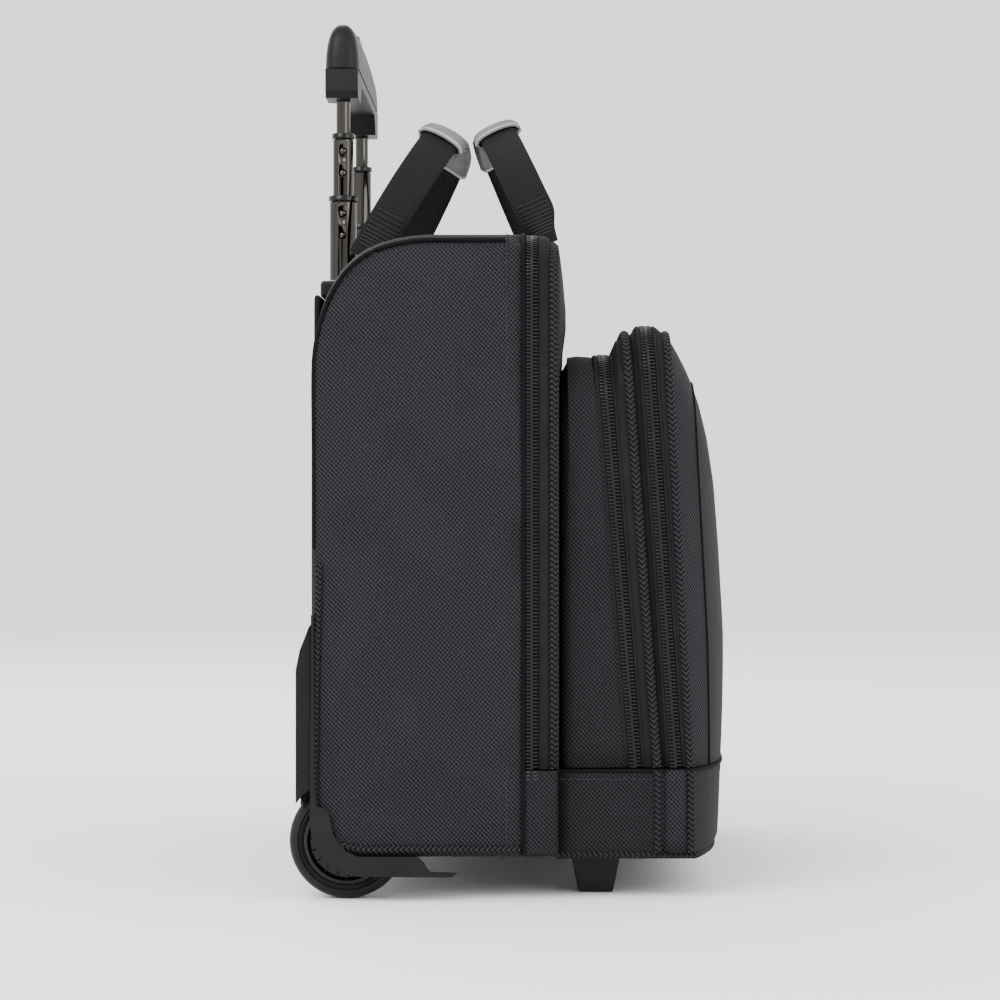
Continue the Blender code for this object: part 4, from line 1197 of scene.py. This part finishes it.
def make_grip():
    """Grip shell with a slot that leaves room for the pressed button."""
    mesh = build_mesh("grip", grip_rows(), closed=True, capped=True)
    cover = add_piece("grip_shell", mesh, "plastic", "grip", ["grip_cover"])
    low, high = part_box("release_button")
    floor = low[2] - BUTTON_PRESS - 0.0010
    slot = block("cutter", (low[0] - SLOT_ROOM, low[1] - SLOT_ROOM, floor),
                 (high[0] + SLOT_ROOM, high[1] + SLOT_ROOM, 0.53))
    soft = slot.modifiers.new("round", "BEVEL")
    soft.width = 0.0006
    soft.segments = 2
    soft.affect = "EDGES"
    soft.limit_method = "NONE"
    cut_away(cover, [slot], "plastic")
    cover.data.shade_smooth()
    cover.data.set_sharp_from_angle(angle=math.radians(SHARP_ANGLE))
    dress_node("grip_base", "plastic", 0.0022, 4)
    dress_node("release_button", "glossy")


# ------------------------------------------------------------- carry handles
def handle_curve(height, foot):
    """Arch from foot to foot, as (x, rise, half width) points."""
    shape = ((1.000, 0.00, foot), (0.998, 0.10, 0.3 + 0.7 * foot), (0.990, 0.22, 1.0),
             (0.960, 0.38, 1.0),
             (0.880, 0.56, 1.0), (0.760, 0.73, 1.0), (0.610, 0.88, 1.0), (0.480, 0.955, 1.0),
             (0.330, 0.985, 1.0), (0.150, 1.0, 1.0))
    half = [Vector((HANDLE_FOOT_X * a, height * b, STRAP_HALF_WIDTH * c)) for a, b, c in shape]
    return [Vector((-p.x, p.y, p.z)) for p in half] + half[::-1]


def smooth_curve(points, steps=4):
    """Catmull-Rom through the points."""
    result = []
    for i in range(len(points) - 1):
        a = points[max(i - 1, 0)]
        b, c = points[i], points[i + 1]
        d = points[min(i + 2, len(points) - 1)]
        for k in range(steps):
            t = k / steps
            result.append(0.5 * ((2 * b) + (c - a) * t + (2 * a - 5 * b + 4 * c - d) * t * t
                                 + (3 * b - a - 3 * c + d) * t ** 3))
    return result + [points[-1]]


def arch_out(curve, i):
    """Direction away from the arch at one of its points."""
    after, before = curve[min(i + 1, len(curve) - 1)], curve[max(i - 1, 0)]
    along = Vector((after.x - before.x, 0, after.y - before.y)).normalized()
    return Vector((-along.z, 0, along.x))


def make_carry_handle(name, sizes):
    """Webbing arch with stitched ribs, a soft sleeve and its two bindings."""
    base_y, base_z, lean, height, foot = sizes
    curve = smooth_curve(handle_curve(height, foot), 5)
    turn = Matrix.Rotation(math.radians(lean), 4, "X")

    def strip(first, last, widen, thickness, crown, sides=12):
        """Rows that run along the arch, one for each place across the section."""
        rows = []
        for k in range(2 * sides + 1):
            face = 1 if k <= sides else -1
            u = -1 + 2 * (k / sides) if face > 0 else 1 - 2 * ((k - sides) / sides)
            row = []
            for i in range(first, last):
                point = curve[i]
                out = arch_out(curve, i)
                edge = math.sqrt(max(0.0, 1 - abs(u) ** 6))
                rise = face * thickness / 2 * (0.25 + 0.75 * edge) - crown * u * u
                flat = Vector((point.x, u * (point.z + widen), point.y)) + out * rise
                row.append(turn @ flat + Vector((0, base_y, base_z)))
            rows.append(row)
        return rows

    total = len(curve)
    bars = []
    for i in list(range(4, 14)) + list(range(total - 14, total - 4)):
        out, point = arch_out(curve, i), curve[i]
        for face in (-1, 1):
            ends = [turn @ (Vector((point.x, way * point.z * 0.78, point.y)) + out * face * 0.0013)
                    + Vector((0, base_y, base_z)) for way in (-1, 1)]
            bars.append(capsule(*ends, STITCHED_RIB, STITCHED_RIB, turn @ out))
    add_piece(name + "_stitches", join_parts("bars", bars), "thread", name)
    add_piece(name + "_web", build_mesh(name + "_web", strip(0, total, *WEB_SECTION)),
              "webbing", name, [name + "_strap"])
    first = next(i for i, p in enumerate(curve) if p.x > WRAP_END_X)
    last = total - first
    wrap = add_skin(name + "_sleeve", strip(first, last, *SLEEVE_SECTION), "wrap", name,
                    0.0010, -1.0, [name + "_wrap"])
    for side, start in (("left", first), ("right", last - 2)):
        mesh = build_mesh("binding", strip(start, start + 2, *BINDING_SECTION))
        add_piece("%s_binding_%s" % (name, side), mesh, "wrap_edge", name)


def make_inside():
    """Padded divider of the laptop compartment."""
    low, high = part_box("laptop_divider")
    make_pad("divider_pad", "laptop_divider", (0.33, 0.67), "lining")
    bind_edge("divider_binding", "laptop_divider", (low[1] + high[1]) / 2, 0.0016)


# ------------------------------------------------------------- camera, light
def make_stage():
    """Pale floor, pale surroundings and three soft lights."""
    mesh_data = bmesh.new()
    bmesh.ops.create_grid(mesh_data, x_segments=2, y_segments=2, size=6.0)
    floor = add_object("floor", new_mesh("floor", mesh_data))
    material = bpy.data.materials.new("pale_floor")
    material.use_nodes = True
    shader = material.node_tree.nodes["Principled BSDF"]
    shader.inputs["Base Color"].default_value = (0.96, 0.96, 0.96, 1)
    shader.inputs["Roughness"].default_value = 0.9
    floor.data.materials.append(material)

    world = bpy.data.worlds.new("studio")
    world.use_nodes = True
    world.node_tree.nodes["Background"].inputs[0].default_value = (1.0, 1.0, 1.0, 1)
    world.node_tree.nodes["Background"].inputs[1].default_value = SURROUND_STRENGTH
    bpy.context.scene.world = world
    for name, place, size, power in LIGHTS:
        data = bpy.data.lights.new(name, "AREA")
        data.size = size
        data.energy = power
        light = add_object(name, data)
        light.location = place
        aim = Vector(LIGHT_AIM) - Vector(place)
        light.rotation_euler = aim.to_track_quat("-Z", "Y").to_euler()


def make_camera():
    """A camera at the photograph's angle."""
    data = bpy.data.cameras.new("camera")
    data.lens, data.sensor_width, data.shift_x = CAMERA_LENS, SENSOR_WIDTH, CAMERA_SHIFT
    camera = add_object("camera", data)
    camera.location = CAMERA_PLACE
    camera.rotation_euler = (math.pi / 2, 0, -math.pi / 2)
    bpy.context.scene.camera = camera


make_camera()
make_stage()
make_main_section()
make_back()
make_front_panel()
make_pockets()
make_pocket_floors()
make_dome()
make_bases()
make_zippers()
make_wheels()
make_plastics()
make_tubes()
make_grip()
make_carry_handle("rear_handle", REAR_HANDLE)
make_carry_handle("front_handle", FRONT_HANDLE)
make_inside()
